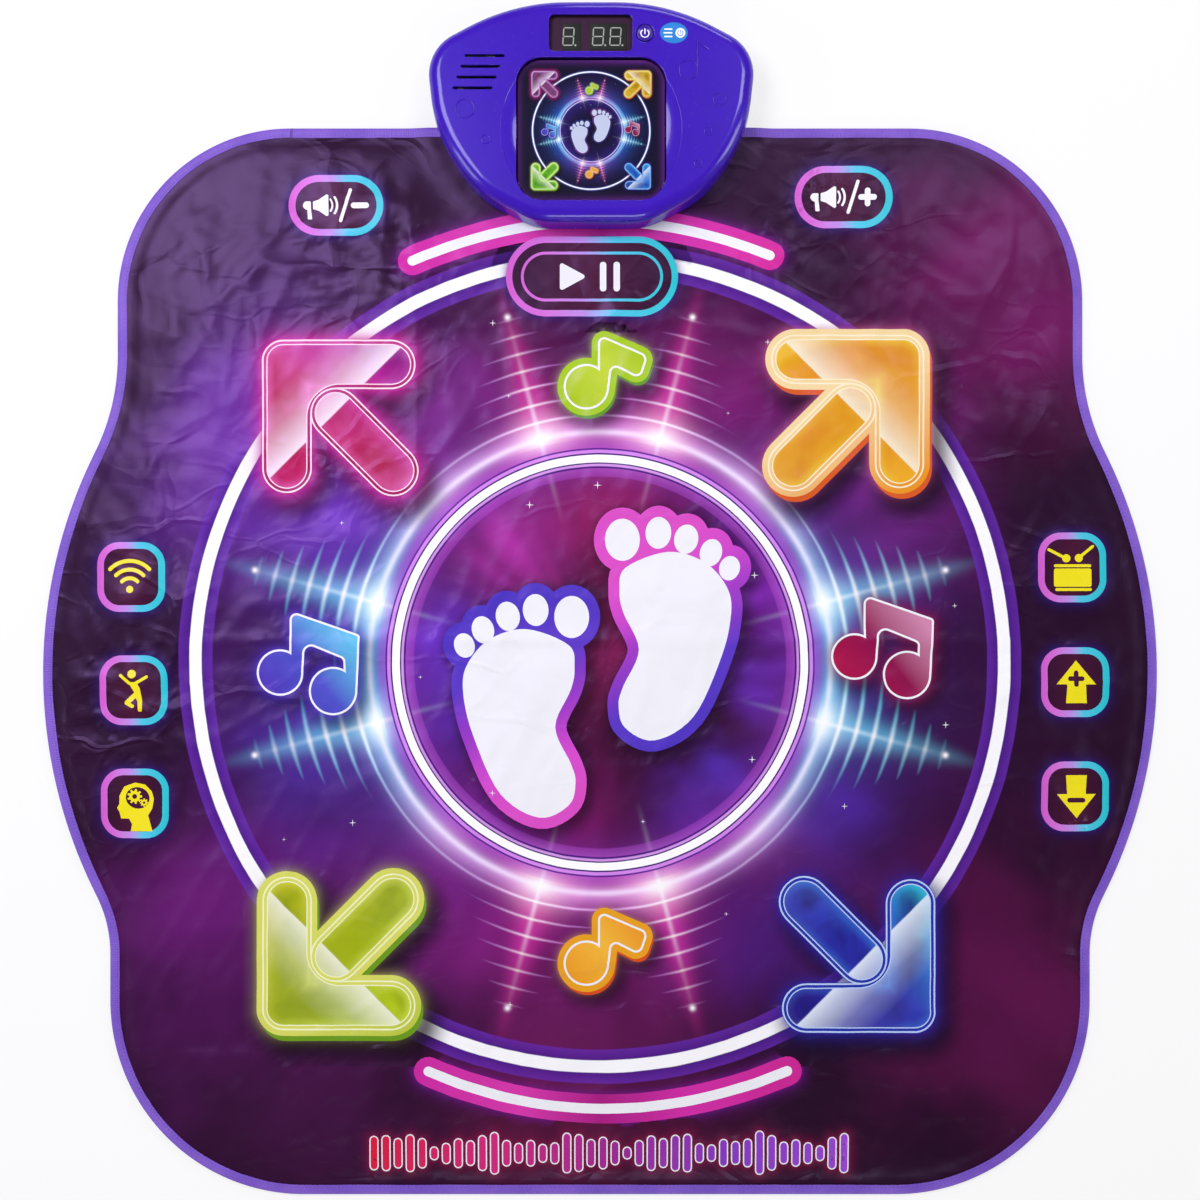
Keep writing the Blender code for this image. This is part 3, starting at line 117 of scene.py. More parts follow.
def boxLoop(centre, width, height, radius, inset=0.0, sag=0.04):
    x, y = width / 2, height / 2
    corners = [(centre[0] + a * x, centre[1] + b * y, radius)
               for a, b in ((-1, -1), (1, -1), (1, 1), (-1, 1))]
    return roundedLoop(corners, inset, sag)


def ovalLoop(centre, across, along, turn=0.0, steps=40):
    loop = []
    for i in range(steps):
        x, y = across * cos(2 * pi * i / steps), along * sin(2 * pi * i / steps)
        loop.append((centre[0] + x * cos(turn) - y * sin(turn), centre[1] + x * sin(turn) + y * cos(turn)))
    return loop


def barLoop(start, end, radius, steps=10):  # a straight stroke with round ends
    angle = atan2(end[1] - start[1], end[0] - start[0])
    loop = []
    for middle, first in ((end, angle - pi / 2), (start, angle + pi / 2)):
        for i in range(steps + 1):
            turn = first + pi * i / steps
            loop.append((middle[0] + radius * cos(turn), middle[1] + radius * sin(turn)))
    return loop


def arcLoop(centre, radius, half, start, end, steps=60):  # a curved stroke with round ends, angles in degrees
    outer, inner = [], []
    for i in range(steps + 1):
        turn = radians(start + (end - start) * i / steps)
        outer.append((centre[0] + (radius + half) * cos(turn), centre[1] + (radius + half) * sin(turn)))
        inner.append((centre[0] + (radius - half) * cos(turn), centre[1] + (radius - half) * sin(turn)))
    caps = []
    for place, way in ((end, 0), (start, 1)):
        turn = radians(place)
        middle = (centre[0] + radius * cos(turn), centre[1] + radius * sin(turn))
        caps.append([(middle[0] + half * cos(turn + way * pi + pi * k / 10),
                      middle[1] + half * sin(turn + way * pi + pi * k / 10)) for k in range(1, 10)])
    return outer + caps[0] + inner[::-1] + caps[1]


def curveLoop(points, grow=0.0):  # a closed smooth curve through a few points
    count, steps = len(points), 6
    loop = []
    for i in range(count):
        a, b, c, d = (Vector(points[(i + k) % count]) for k in (-1, 0, 1, 2))
        for k in range(steps):
            t = k / steps
            place = 0.5 * (2 * b + (c - a) * t + (2 * a - 5 * b + 4 * c - d) * t * t
                           + (3 * b - 3 * c + d - a) * t ** 3)
            along = 0.5 * ((c - a) + 2 * (2 * a - 5 * b + 4 * c - d) * t
                           + 3 * (3 * b - 3 * c + d - a) * t * t)
            along.normalize()
            loop.append((place.x + along.y * grow, place.y - along.x * grow))
    return loop


def shrunk(loop, inset):  # a thin stroke drawn in a little
    out = []
    for before, here, after in zip(loop[-1:] + loop[:-1], loop, loop[1:] + loop[:1]):
        along = (Vector(after) - Vector(before)).normalized()
        out.append((here[0] - along.y * inset, here[1] + along.x * inset))
    return out


def loopDistance(points, loop):  # distance of each point to a closed loop, less than 0 inside
    loop = np.asarray(loop, float)
    nearest = np.full(len(points), 1e12)
    inside = np.zeros(len(points), bool)
    for a, b in zip(loop, np.roll(loop, -1, axis=0)):
        edge = b - a
        share = np.clip(((points - a) @ edge) / max(edge @ edge, 1e-9), 0, 1)
        gap = points - a - share[:, None] * edge
        nearest = np.minimum(nearest, (gap * gap).sum(1))
        crosses = (a[1] > points[:, 1]) != (b[1] > points[:, 1])
        if crosses.any():
            inside ^= crosses & (points[:, 0] < a[0] + (points[:, 1] - a[1]) * edge[0] / edge[1])
    return np.where(inside, -1, 1) * np.sqrt(nearest)


def isInside(points, loop):
    inside = np.zeros(len(points), bool)
    for a, b in zip(loop, loop[1:] + loop[:1]):
        crosses = (a[1] > points[:, 1]) != (b[1] > points[:, 1])
        if crosses.any():
            inside ^= crosses & (points[:, 0] < a[0] + (points[:, 1] - a[1]) * (b[0] - a[0]) / (b[1] - a[1]))
    return inside


# Node helpers

def newMaterial(name, colour, roughness, metallic=0.0, **more):
    material = bpy.data.materials.new(name)
    material.use_nodes = True
    tree = material.node_tree
    shader = tree.nodes["Principled BSDF"]
    shader.inputs["Base Color"].default_value = ink(colour)
    shader.inputs["Roughness"].default_value = roughness
    shader.inputs["Metallic"].default_value = metallic
    for socket, value in more.items():
        shader.inputs[socket.replace("_", " ")].default_value = value
    return material, tree, shader


def feed(tree, socket, value):
    if isinstance(value, bpy.types.NodeSocket):
        tree.links.new(value, socket)
    elif value is not None:
        socket.default_value = value


def calc(tree, operation, first, second=None, third=None, clamp=False):
    made = tree.nodes.new("ShaderNodeMath")
    made.operation = operation
    made.use_clamp = clamp
    for socket, value in zip(made.inputs, (first, second, third)):
        feed(tree, socket, value)
    return made.outputs[0]


def times(tree, *values):  # the product of two or more values
    product = values[0]
    for value in values[1:]:
        product = calc(tree, "MULTIPLY", product, value)
    return product


def vectorCalc(tree, operation, first, second=None, output="Vector"):
    made = tree.nodes.new("ShaderNodeVectorMath")
    made.operation = operation
    feed(tree, made.inputs[0], first)
    feed(tree, made.inputs[1], second)
    return made.outputs[output]


def mixColour(tree, share, first, second, mode="MIX"):
    made = tree.nodes.new("ShaderNodeMix")
    made.data_type = "RGBA"
    made.blend_type = mode
    made.clamp_factor = True
    feed(tree, made.inputs[0], share)
    feed(tree, made.inputs[6], first)
    feed(tree, made.inputs[7], second)
    return made.outputs[2]


def ramp(tree, share, stops):  # stops are a place and a colour or a grey value
    made = tree.nodes.new("ShaderNodeValToRGB")
    elements = made.color_ramp.elements
    while len(elements) < len(stops):
        elements.new(1.0)
    for element, (place, value) in zip(elements, stops):
        element.position = place
        element.color = ink(value) if isinstance(value, str) else (value, value, value, 1.0)
    tree.links.new(share, made.inputs[0])
    return made.outputs[0]


def objectCoords(tree):
    return tree.nodes.new("ShaderNodeTexCoord").outputs["Object"]


def mapped(tree, vector, scale=(1, 1, 1), location=(0, 0, 0), rotation=(0, 0, 0)):
    made = tree.nodes.new("ShaderNodeMapping")
    tree.links.new(vector, made.inputs[0])
    made.inputs["Scale"].default_value = scale
    made.inputs["Location"].default_value = location
    made.inputs["Rotation"].default_value = rotation
    return made.outputs[0]


def noiseShare(tree, vector, scale, detail=3.0, roughness=0.55, distortion=0.0):
    made = tree.nodes.new("ShaderNodeTexNoise")
    tree.links.new(vector, made.inputs["Vector"])
    made.inputs["Scale"].default_value = scale
    made.inputs["Detail"].default_value = detail
    made.inputs["Roughness"].default_value = roughness
    made.inputs["Distortion"].default_value = distortion
    return made.outputs[0]


def spread(tree, share, low, high):  # 0 to 1 becomes low to high
    return calc(tree, "MULTIPLY_ADD", share, high - low, low)


def bump(tree, height, distance, strength=1.0, under=None):
    made = tree.nodes.new("ShaderNodeBump")
    made.inputs["Strength"].default_value = strength
    made.inputs["Distance"].default_value = distance
    tree.links.new(height, made.inputs["Height"])
    if under is not None:
        tree.links.new(under, made.inputs["Normal"])
    return made.outputs[0]


def noiseBump(tree, scale, detail, distance, strength, under=None):
    return bump(tree, noiseShare(tree, objectCoords(tree), scale, detail), distance, strength, under)


def unevenRoughness(tree, shader, scale, detail, low, high):
    share = noiseShare(tree, objectCoords(tree), scale, detail)
    tree.links.new(spread(tree, share, low, high), shader.inputs["Roughness"])


def unevenColour(tree, shader, scale, detail, low, high):
    share = noiseShare(tree, objectCoords(tree), scale, detail)
    tree.links.new(mixColour(tree, share, ink(low), ink(high)), shader.inputs["Base Color"])


# The mat's outline and the lattice that its sheets are made on

matShape = dict(farHalfWidth=391, nearHalfWidth=397, lobeRadius=400, lobeHalfAngle=26, lobeMiddleY=-56,
    farCorner=140, nearCorner=157, farWaist=175, nearWaist=105)
sheetShape = dict(cell=4.25, fabric=0.5, edgeTop=2.6, fieldTop=4.1, edgeUnder=0.8, lift=2.5, flatEdge=10,
    rampEnd=20, fabricInset=1.0, clampNear=5, clampFar=24, foldHeight=0.7, foldWidth=4.0,
    crumpleEdge=(12, 50), crumpleConsole=(14, 70))
consoleShape = dict(corners=((44, 0, 50), (87, 21.5, 70), (105, 42.5, 120), (119.5, 66, 115), (127.2, 90, 95),
    (132.5, 138.5, 36), (61, 176.5, 170)), parting=6.2, top=36, wall=2.4, roof=3, innerStep=0.6, cutLow=28,
    draft=1.2, edgeRound=10, edgeSteps=12, innerSteps=4)

matLow, matHigh = nodeBox("edge_binding")
shellLow, shellHigh = nodeBox("top_shell")
consoleX = (shellLow.x + shellHigh.x) / 2
consoleNear = shellLow.y


def consolePoint(u, v):
    return consoleX + u, consoleNear + v


def matCorners():
    s = matShape
    slope = tan(radians(s["lobeHalfAngle"]))
    apex = matHigh.x + s["lobeRadius"] * (1 / cos(radians(s["lobeHalfAngle"])) - 1)
    farWaistY = s["lobeMiddleY"] + (apex - s["farHalfWidth"]) / slope
    nearWaistY = s["lobeMiddleY"] - (apex - s["nearHalfWidth"]) / slope
    right = [(s["nearHalfWidth"], matLow.y, s["nearCorner"]),
             (s["nearHalfWidth"], nearWaistY, s["nearWaist"]),
             (apex, s["lobeMiddleY"], s["lobeRadius"]), (s["farHalfWidth"], farWaistY, s["farWaist"]),
             (s["farHalfWidth"], matHigh.y, s["farCorner"])]
    return right + [(-x, y, radius) for x, y, radius in reversed(right)]


def consoleLoop(inset=0.0, sag=0.1):
    right = [(*consolePoint(u, v), radius) for u, v, radius in consoleShape["corners"]]
    left = [(*consolePoint(-u, v), radius) for u, v, radius in reversed(consoleShape["corners"])]
    return roundedLoop(right + left, inset, sag)


outlineLoop = roundedLoop(matCorners(), 0.0, 0.3)
cell = sheetShape["cell"]
latticeStart = (-107 * cell, -114 * cell)
latticeCount = (215, 206)

foldShape = (  # direction in degrees, length and width of the folds, height, seed
    (8, 210, 34, 1.5, 1.3), (68, 150, 30, 1.2, 4.1), (128, 170, 26, 1.0, 8.6), (97, 240, 40, 1.1, 12.9),
    (35, 70, 15, 0.55, 17.2), (150, 60, 13, 0.5, 21.7), (84, 46, 10, 0.3, 27.4))
foldLines = (  # height and width of the fold, corners of its line
    (2.6, 6.5, ((-176, 372), (-172, 310), (-181, 246))), (2.2, 6.0, ((-158, 370), (-151, 300), (-166, 238))),
    (1.6, 6.0, ((-140, 330), (-146, 290), (-140, 262))),
    (1.3, 4.6, ((-381, 246), (-322, 236), (-265, 277), (-201, 266))),
    (1.2, 4.6, ((-265, 277), (-232, 252), (-201, 235), (-160, 243))),
    (1.0, 4.6, ((-300, 262), (-262, 300), (-243, 312))), (2.4, 9.0, ((-364, 168), (-354, 92), (-366, 20))),
    (1.6, 8.0, ((-341, 122), (-333, 30), (-344, -40))), (1.4, 9.0, ((-392, 40), (-380, -60), (-390, -160))),
    (1.3, 6.0, ((-330, -31), (-180, -27), (-60, -33), (120, -29), (330, -33))),
    (1.2, 5.5, ((146, 372), (139, 316), (148, 258))), (1.1, 6.0, ((372, 190), (352, 150), (388, 118))),
    (1.0, 6.0, ((300, 60), (344, 20), (336, -50), (366, -110))),
    (0.9, 5.0, ((-290, -180), (-240, -216), (-262, -262))),
    (1.0, 6.0, ((330, -190), (372, -240), (352, -330))), (0.8, 5.0, ((-60, -330), (40, -352), (150, -338))))


def pathDistance(points, path):
    best = np.full(len(points), 1e9)
    for a, b in zip(np.array(path, float), np.array(path[1:], float)):
        along = np.clip((points - a) @ (b - a) / ((b - a) @ (b - a)), 0, 1)
        best = np.minimum(best, np.linalg.norm(points - a - along[:, None] * (b - a), axis=1))
    return best


crumpleShape = dict(sway=24, swayCell=95, gateCell=130, gate=(-0.35, 0.45, 0.12), sharpness=2.6, power=1.5,
    swell=1.2, swellCell=(170, 140), lineSway=0.35, wander=1.5, wanderCell=37, fade=90)
oldFolds = ((-31, 1, 360), (152, 0, 420), (-150, 0, 420))  # place, axis and reach of the folds from storage


def crumple(points):  # folds and creases left by keeping the mat folded
    look = crumpleShape
    heights = np.zeros(len(points))
    size = look["swayCell"]
    sways = np.array([[noise.noise(Vector((x / size, y / size, z))) for z in (3.0, 11.0)] for x, y in points])
    sways *= look["sway"]
    size = look["gateCell"]
    gates = np.array([noise.noise(Vector((x / size, y / size, 5.5))) for x, y in points])
    low, high, shift = look["gate"]
    for k, (direction, length, width, height, seed) in enumerate(foldShape):
        c, s = cos(radians(direction)), sin(radians(direction))
        along = ((points[:, 0] + sways[:, 0]) * c + (points[:, 1] + sways[:, 1]) * s) / length
        across = ((points[:, 1] + sways[:, 1]) * c - (points[:, 0] + sways[:, 0]) * s) / width
        ridge = np.array([abs(noise.noise(Vector((a, b, seed)))) for a, b in zip(along, across)])
        gate = smooth(low, high, gates * (1 if k % 2 else -1) + shift)
        heights += height * gate * np.maximum(0, 1 - ridge * look["sharpness"]) ** look["power"]
    wide, deep = look["swellCell"]
    heights += np.array([look["swell"] * (0.5 + noise.noise(Vector((x / wide, y / deep, 7.7))))
                         for x, y in points])
    for height, width, path in foldLines:
        gap = pathDistance(points + sways * look["lineSway"], path)
        heights += height * np.exp(-gap / width) * (0.8 + 0.4 * gates)
    for offset, axis, reach in oldFolds:
        gap = points[:, axis] - offset + look["wander"] * np.sin(points[:, 1 - axis] / look["wanderCell"])
        along = smooth(reach, reach - look["fade"], np.abs(points[:, 1 - axis]))
        heights += sheetShape["foldHeight"] * np.exp(-(gap / sheetShape["foldWidth"]) ** 2) * along
    return heights


def sheetHeights(points):  # top of the printed sheet, and top of the backing sheet
    s = sheetShape
    inside = -loopDistance(points, outlineLoop)
    fromConsole = loopDistance(points, consoleLoop(0.0, 0.6))
    clamped = 1 - smooth(s["clampNear"], s["clampFar"], fromConsole)
    field = smooth(s["flatEdge"], s["rampEnd"], inside)
    top = s["edgeTop"] + (s["fieldTop"] - s["edgeTop"]) * field
    top = top * (1 - clamped) + (s["edgeTop"] + s["lift"]) * clamped
    top += crumple(points) * smooth(*s["crumpleEdge"], inside) * smooth(*s["crumpleConsole"], fromConsole)
    under = s["edgeUnder"] * (1 - field)
    under = under * (1 - clamped) + (s["edgeUnder"] + s["lift"]) * clamped
    return top, under + s["fabric"]


latticeX = latticeStart[0] + cell * np.arange(latticeCount[0])
latticeY = latticeStart[1] + cell * np.arange(latticeCount[1])
latticePoints = np.stack(np.meshgrid(latticeX, latticeY, indexing="ij"), -1).reshape(-1, 2)
topHeights, underHeights = (h.reshape(latticeCount) for h in sheetHeights(latticePoints))
print("lattice of", len(latticePoints), "points")


def onLattice(table, points):  # height on the lattice's own triangles, so that a print lies on the sheet
    u = np.clip((points[:, 0] - latticeStart[0]) / cell, 0, latticeCount[0] - 1.001)
    v = np.clip((points[:, 1] - latticeStart[1]) / cell, 0, latticeCount[1] - 1.001)
    i, j = u.astype(int), v.astype(int)
    u, v = u - i, v - j
    a, b, c, d = table[i, j], table[i + 1, j], table[i, j + 1], table[i + 1, j + 1]
    return np.where(u > v, a + u * (b - a) + v * (d - b), a + v * (c - a) + u * (d - c))


def settle(bm, table, lift=0.0):
    verts = bm.verts[:]
    points = np.array([v.co[:2] for v in verts]).reshape(-1, 2)
    for vert, z in zip(verts, onLattice(table, points)):
        vert.co.z = z + lift


# The two sheets of cloth

sheetHoles = [(*consolePoint(72 * side, 26), 7) for side in (-1, 1)] + [(*consolePoint(0, 30), 21)]


def gridMesh(cells, size, middle):  # a flat grid of so many cells, sized and moved to its place
    bm = bmesh.new()
    bmesh.ops.create_grid(bm, x_segments=int(cells[0]), y_segments=int(cells[1]), size=0.5)
    bmesh.ops.scale(bm, verts=bm.verts, vec=(*size, 1))
    bmesh.ops.translate(bm, verts=bm.verts, vec=middle)
    return bm


def sheetMesh(table, holes):
    cells = (latticeCount[0] - 1, latticeCount[1] - 1)
    size = (cells[0] * cell, cells[1] * cell)
    bm = gridMesh(cells, size, (latticeStart[0] + size[0] / 2, latticeStart[1] + size[1] / 2, 0))
    faces = bm.faces[:]
    centres = np.array([f.calc_center_median()[:2] for f in faces])
    keep = -loopDistance(centres, outlineLoop) > sheetShape["fabricInset"] + 0.75 * cell
    for x, y, reach in holes:
        keep &= np.hypot(centres[:, 0] - x, (centres[:, 1] - y) * (3 if reach > 10 else 1)) > reach
    bmesh.ops.delete(bm, geom=[f for f, k in zip(faces, keep) if not k], context="FACES")
    bmesh.ops.triangulate(bm, faces=bm.faces[:], quad_method="FIXED")
    rim = [e for e in bm.edges if e.is_boundary]
    middles = np.array([((e.verts[0].co + e.verts[1].co) / 2)[:2] for e in rim])
    near = -loopDistance(middles, outlineLoop) < 3 * cell
    made = bmesh.ops.extrude_edge_only(bm, edges=[e for e, n in zip(rim, near) if n])["geom"]
    edge = np.array(roundedLoop(matCorners(), sheetShape["fabricInset"], 0.05))
    dense = []
    for a, b in zip(edge, np.roll(edge, -1, axis=0)):
        steps = max(1, int(np.linalg.norm(b - a) // 1.0))
        dense += [a + (b - a) * k / steps for k in range(steps)]
    dense = np.array(dense)
    for vert in (g for g in made if isinstance(g, bmesh.types.BMVert)):
        vert.co.xy = dense[np.argmin(((dense - np.array(vert.co[:2])) ** 2).sum(1))]
    settle(bm, table)
    bmesh.ops.triangulate(bm, faces=[f for f in bm.faces if len(f.verts) > 3])
    bmesh.ops.recalc_face_normals(bm, faces=bm.faces[:])
    if sum(f.normal.z for f in bm.faces) < 0:
        bmesh.ops.reverse_faces(bm, faces=bm.faces[:])
    return bm


def giveThickness(piece, thickness, offset=-1):
    wall = piece.modifiers.new("thickness", "SOLIDIFY")
    wall.thickness = thickness * 0.001
    wall.offset = offset


# Finishes shared by everything that is printed on the cloth

clothLook = dict(roughness=0.36, roughSpread=0.12, shine=0.36, weave=0.000012, threads=1500,
                 swell=(17, 0.0034),
                 sheen="#d8b0ff",
                 creases=(  # direction, cell, stretch, height, share left flat, width of a sharp crease
                     (24, 64, 1.7, 0.0013, 0.40, 0), (118, 36, 1.9, 0.0006, 0.46, 0),
                     (35, 72, 1.8, 0.00045, 0.46, 0.05), (100, 30, 1.6, 0.0002, 0.50, 0.08)))


def noiseColour(tree, vector, scale):
    made = tree.nodes.new("ShaderNodeTexNoise")
    tree.links.new(vector, made.inputs["Vector"])
    made.inputs["Scale"].default_value = scale
    return made.outputs["Color"]


def clothFinish(tree, shader):
    look = clothLook
    coords = objectCoords(tree)
    broad = noiseShare(tree, coords, 16, 3, 0.6, 0.6)
    rough = calc(tree, "ADD", spread(tree, broad, -look["roughSpread"] / 2, look["roughSpread"] / 2),
                 look["roughness"])
    tree.links.new(rough, shader.inputs["Roughness"])
    shader.inputs["Specular IOR Level"].default_value = look["shine"]
    shader.inputs["Specular Tint"].default_value = ink(look["sheen"])
    bent = vectorCalc(tree, "ADD", coords, mapped(tree, noiseColour(tree, coords, 14), (0.05, 0.05, 0.0)))
    relief = times(tree, noiseShare(tree, bent, look["swell"][0], 2.0, 0.45), look["swell"][1])
    for k, (direction, size, stretch, height, share, sharp) in enumerate(look["creases"]):
        turned = mapped(tree, bent, (1 / stretch, 1, 0), (0.37 * k, 0, 0), (0, 0, radians(direction)))
        facets = tree.nodes.new("ShaderNodeTexVoronoi")
        facets.inputs["Scale"].default_value = 1000 / size
        tree.links.new(turned, facets.inputs["Vector"])
        if sharp:
            facets.feature = "DISTANCE_TO_EDGE"
            shape = ramp(tree, facets.outputs["Distance"], [(0.0, 1.0), (sharp, 0.0)])
        else:
            facets.distance = "MANHATTAN"
            shape = facets.outputs["Distance"]
        patches = ramp(tree, noiseShare(tree, mapped(tree, coords, (1, 1, 1), (k, 2, 0)), 8, 1),
                       [(share, 0.0), (share + 0.14, height)])
        relief = calc(tree, "ADD", relief, times(tree, shape, patches))
    warp = tree.nodes.new("ShaderNodeTexWave")
    warp.bands_direction = "X"
    weft = tree.nodes.new("ShaderNodeTexWave")
    weft.bands_direction = "Y"
    for threads in (warp, weft):
        threads.inputs["Scale"].default_value = look["threads"] / 6.2832
        tree.links.new(coords, threads.inputs["Vector"])
    cloth = times(tree, warp.outputs["Fac"], weft.outputs["Fac"])
    relief = calc(tree, "ADD", relief, times(tree, cloth, look["weave"]))
    tree.links.new(bump(tree, relief, 1.0), shader.inputs["Normal"])


# The printed picture: where it lies and its soft background

matPlace = dict(name="mat", centre=(0.0, -47.9), scale=1.0, cloth=True, lift=0.10)
panelPlace = dict(name="panel", centre=consolePoint(0, 72.4), scale=0.1425, cloth=False, lift=0.05)

picture = dict(ringRadius=168, rays=12, rayTurn=15, firstRipple=200, rippleStep=14.4, coreRing=187,
    lightRings=((190, 10, 0.38, 0.1), (187, 5, 0.4, 0.4), (186.5, 2.4, 0.75, 0.9), (200, 1.1, 0.5, 0.4)),
    plum="#220820", pink="#d650d0", cyan="#28d4f0", ray="#d8288c", flare="#ffecc4")
matCloudsAndSheen = (  # x, y, reach, colour, strength; the first two, grey-violet by the far left corner, are partly print and partly painted sheen where the window lamp's reflection lies
    (-330, 350, 90, "#3a2444", 0.6), (-250, 290, 60, "#46265c", 0.6), (330, 300, 95, "#74145c", 0.8),
    (360, 180, 45, "#440c34", 0.5), (-292, 195, 62, "#6c30a0", 0.75), (-330, 120, 50, "#642c92", 0.7),
    (-305, -215, 95, "#6c1c74", 0.75), (-230, -350, 90, "#481446", 0.6), (310, -250, 90, "#5e1048", 0.7),
    (345, -320, 70, "#66144e", 0.6), (-125, 215, 50, "#8a3098", 0.6), (-10, -345, 90, "#7a1c4c", 0.45),
    (0, -290, 60, "#6a1a60", 0.5), (225, 140, 60, "#7c2488", 0.6), (-215, 110, 55, "#7238c0", 0.8),
    (-245, -75, 50, "#4e2ca0", 0.7), (112, 215, 45, "#8a1c70", 0.55), (-110, -225, 55, "#8a2284", 0.6),
    (192, -118, 36, "#4c28a8", 0.6), (120, -235, 45, "#4c2090", 0.5))
discClouds = (
    (-70, 95, 45, "#b030a0", 0.8), (20, 118, 55, "#8c1c54", 0.8), (105, 70, 45, "#8a2ac0", 0.7),
    (-125, 20, 36, "#6a34c4", 0.9), (-120, -40, 34, "#5a2cae", 0.7), (128, -20, 34, "#6a30b8", 0.7),
    (100, -90, 36, "#4a2a9c", 0.8), (-20, -122, 40, "#7a1458", 0.7), (-70, -110, 34, "#7a2090", 0.7),
    (10, 10, 44, "#7c1c50", 0.8), (70, -120, 30, "#5a2aa4", 0.6))


class Tints:  # colours laid over each other at a set of points
    def __init__(self, points, colour):
        self.rgb = np.tile(ink(colour)[:3], (len(points), 1))

    def lay(self, colour, share):
        share = np.clip(share, 0, 1)[:, None]
        self.rgb = self.rgb * (1 - share) + np.array(ink(colour)[:3]) * share


def printAndSheenTint(points):  # soft colours, at points in the picture's frame, with some painted sheen in the far left corner
    x, y = points[:, 0], points[:, 1]
    radius = np.hypot(x, y)
    turn = np.arctan2(y, x)
    sideways = np.cos(turn) ** 2
    beyond = radius - picture["ringRadius"]
    swirl = np.array([noise.fractal(Vector((a / 110, b / 110, 2.2)), 0.8, 2.0, 4) for a, b in points])
    streak = np.array([noise.noise(Vector((t * 9, r / 260, 8.8))) for t, r in zip(turn, radius)])
    tints = Tints(points, picture["plum"])
    tints.lay("#300c34", 0.9 * (radius < 322))
    # clouds of the print, and painted sheen in the far left corner
    for a, b, reach, colour, strength in matCloudsAndSheen:
        gap = np.hypot(x - a, y - b) / (reach * (1 + 0.5 * swirl))
        tints.lay(colour, strength * np.exp(-gap * gap) * (1 + 0.5 * streak))
    rays = 0.5 + 0.5 * np.cos(picture["rays"] * (turn - radians(picture["rayTurn"])))
    outside = beyond > -4
    near = np.maximum(beyond - 6, 0)
    uneven = 0.75 + 0.5 * swirl + 0.4 * streak
    tints.lay("#5c1a88", 0.8 * np.exp(-near / 34) * outside * uneven)
    tints.lay("#c02a90", 0.95 * np.exp(-near / 42) * outside * (1 - sideways) ** 1.5 * (0.35 + 0.75 * rays))
    tints.lay("#4a34c0", 0.8 * np.exp(-near / 36) * outside * sideways * (0.6 + 0.5 * rays))
    tints.lay("#2f8ee0", 0.75 * np.exp(-near / 22) * sideways ** 2.2 * outside * (0.45 + 0.7 * rays))
    tints.lay("#f0a0dc", 0.6 * np.exp(-(beyond - 16) ** 2 / 240) * (1 - sideways) * (0.4 + 0.7 * rays))
    within = beyond < 0
    tints.lay("#330b2a", 0.95 * within)
    for a, b, reach, colour, strength in discClouds:
        gap = np.hypot(x - a, y - b) / (reach * (1 + 0.5 * swirl))
        tints.lay(colour, strength * np.exp(-gap * gap) * within * (1 + 0.5 * streak))
    tints.lay("#8c30b4", 0.75 * np.exp(beyond / 15) * within)
    return tints.rgb


def artCoords(tree, place):  # the picture's own millimetres from its middle
    scale = place["scale"]
    return mapped(tree, objectCoords(tree), (1000 / scale, 1000 / scale, 0.0),
                  (-place["centre"][0] / scale, -place["centre"][1] / scale, 0.0))


ringStops = (  # radius, colour, cover: bands and fine lines of the two rings
    (150.0, "#b04ac8", 0.0), (150.6, "#b04ac8", 0.35), (157.0, "#c060d8", 0.4), (157.4, "#4a1478", 0.95),
    (158.6, "#4a1478", 0.95), (159.0, "#d9a0ea", 0.85), (160.6, "#d9a0ea", 0.85), (161.0, "#3a1068", 1.0),
    (161.7, "#3a1068", 1.0), (162.0, "#ffffff", 1.0), (168.0, "#ffffff", 1.0), (168.3, "#3a1068", 1.0),
    (169.2, "#3a1068", 1.0), (169.6, "#d58cec", 0.9), (172.0, "#d58cec", 0.9), (172.3, "#55188a", 0.95),
    (173.3, "#55188a", 0.95), (173.7, "#b850d0", 0.5), (180.5, "#b850d0", 0.2), (181.2, "#c860dc", 0.0))
outerStops = (
    (312.5, "#5c249c", 0.0), (313.3, "#642aa8", 0.75), (321.3, "#4c1c88", 0.85), (322.0, "#fafafa", 1.0),
    (331.4, "#fafafa", 1.0), (332.1, "#4c1c88", 0.85), (340.0, "#642aa8", 0.75), (340.8, "#5c249c", 0.0))


def addRings(tree, colour, radius, rings):
    for stops in rings:
        low, high = stops[0][0] - 1, stops[-1][0] + 1
        share = calc(tree, "DIVIDE", calc(tree, "SUBTRACT", radius, low), high - low, clamp=True)
        shade = ramp(tree, share, [((r - low) / (high - low), c) for r, c, _ in stops])
        cover = ramp(tree, share, [((r - low) / (high - low), a) for r, _, a in stops])
        colour = mixColour(tree, cover, colour, shade)
    return colour


def bell(tree, value, middle, width):
    off = calc(tree, "DIVIDE", calc(tree, "SUBTRACT", value, middle), width)
    return calc(tree, "EXPONENT", times(tree, times(tree, off, off), -1.0))


burst = dict(  # strength at shares of the reach, widths in the picture's millimetres
    reach=400.0, diagonal=((0.0, 1.0), (0.66, 1.0), (0.9, 0.0)), taper=((0.46, 1.0), (0.78, 0.3)),
    beamWidth=15.0, glow=((0.42, 0.0), (0.46, 0.75), (0.60, 0.5), (0.80, 0.0)), coreWidth=2.0,
    core=((0.29, 0.0), (0.40, 0.15), (0.46, 0.9), (0.54, 0.45), (0.64, 0.12), (0.74, 0.0)),
    limit=((0.49, 1.0), (0.55, 0.62), (0.62, 0.42), (0.70, 0.2), (0.75, 0.06)), limitWidth=84.0,
    fade=((0.478, 0.0), (0.49, 1.0), (0.60, 0.7), (0.70, 0.35), (0.735, 0.0)), sharpness=(24.0, 5.0),
    hotSpots=((18.0, 20.0, 0.4), (6.5, 11.0, 1.0)), tipRadius=289.0, tipWidth=2.2)


def screened(tree, colour, share, light):
    return mixColour(tree, share, colour, light, "SCREEN")


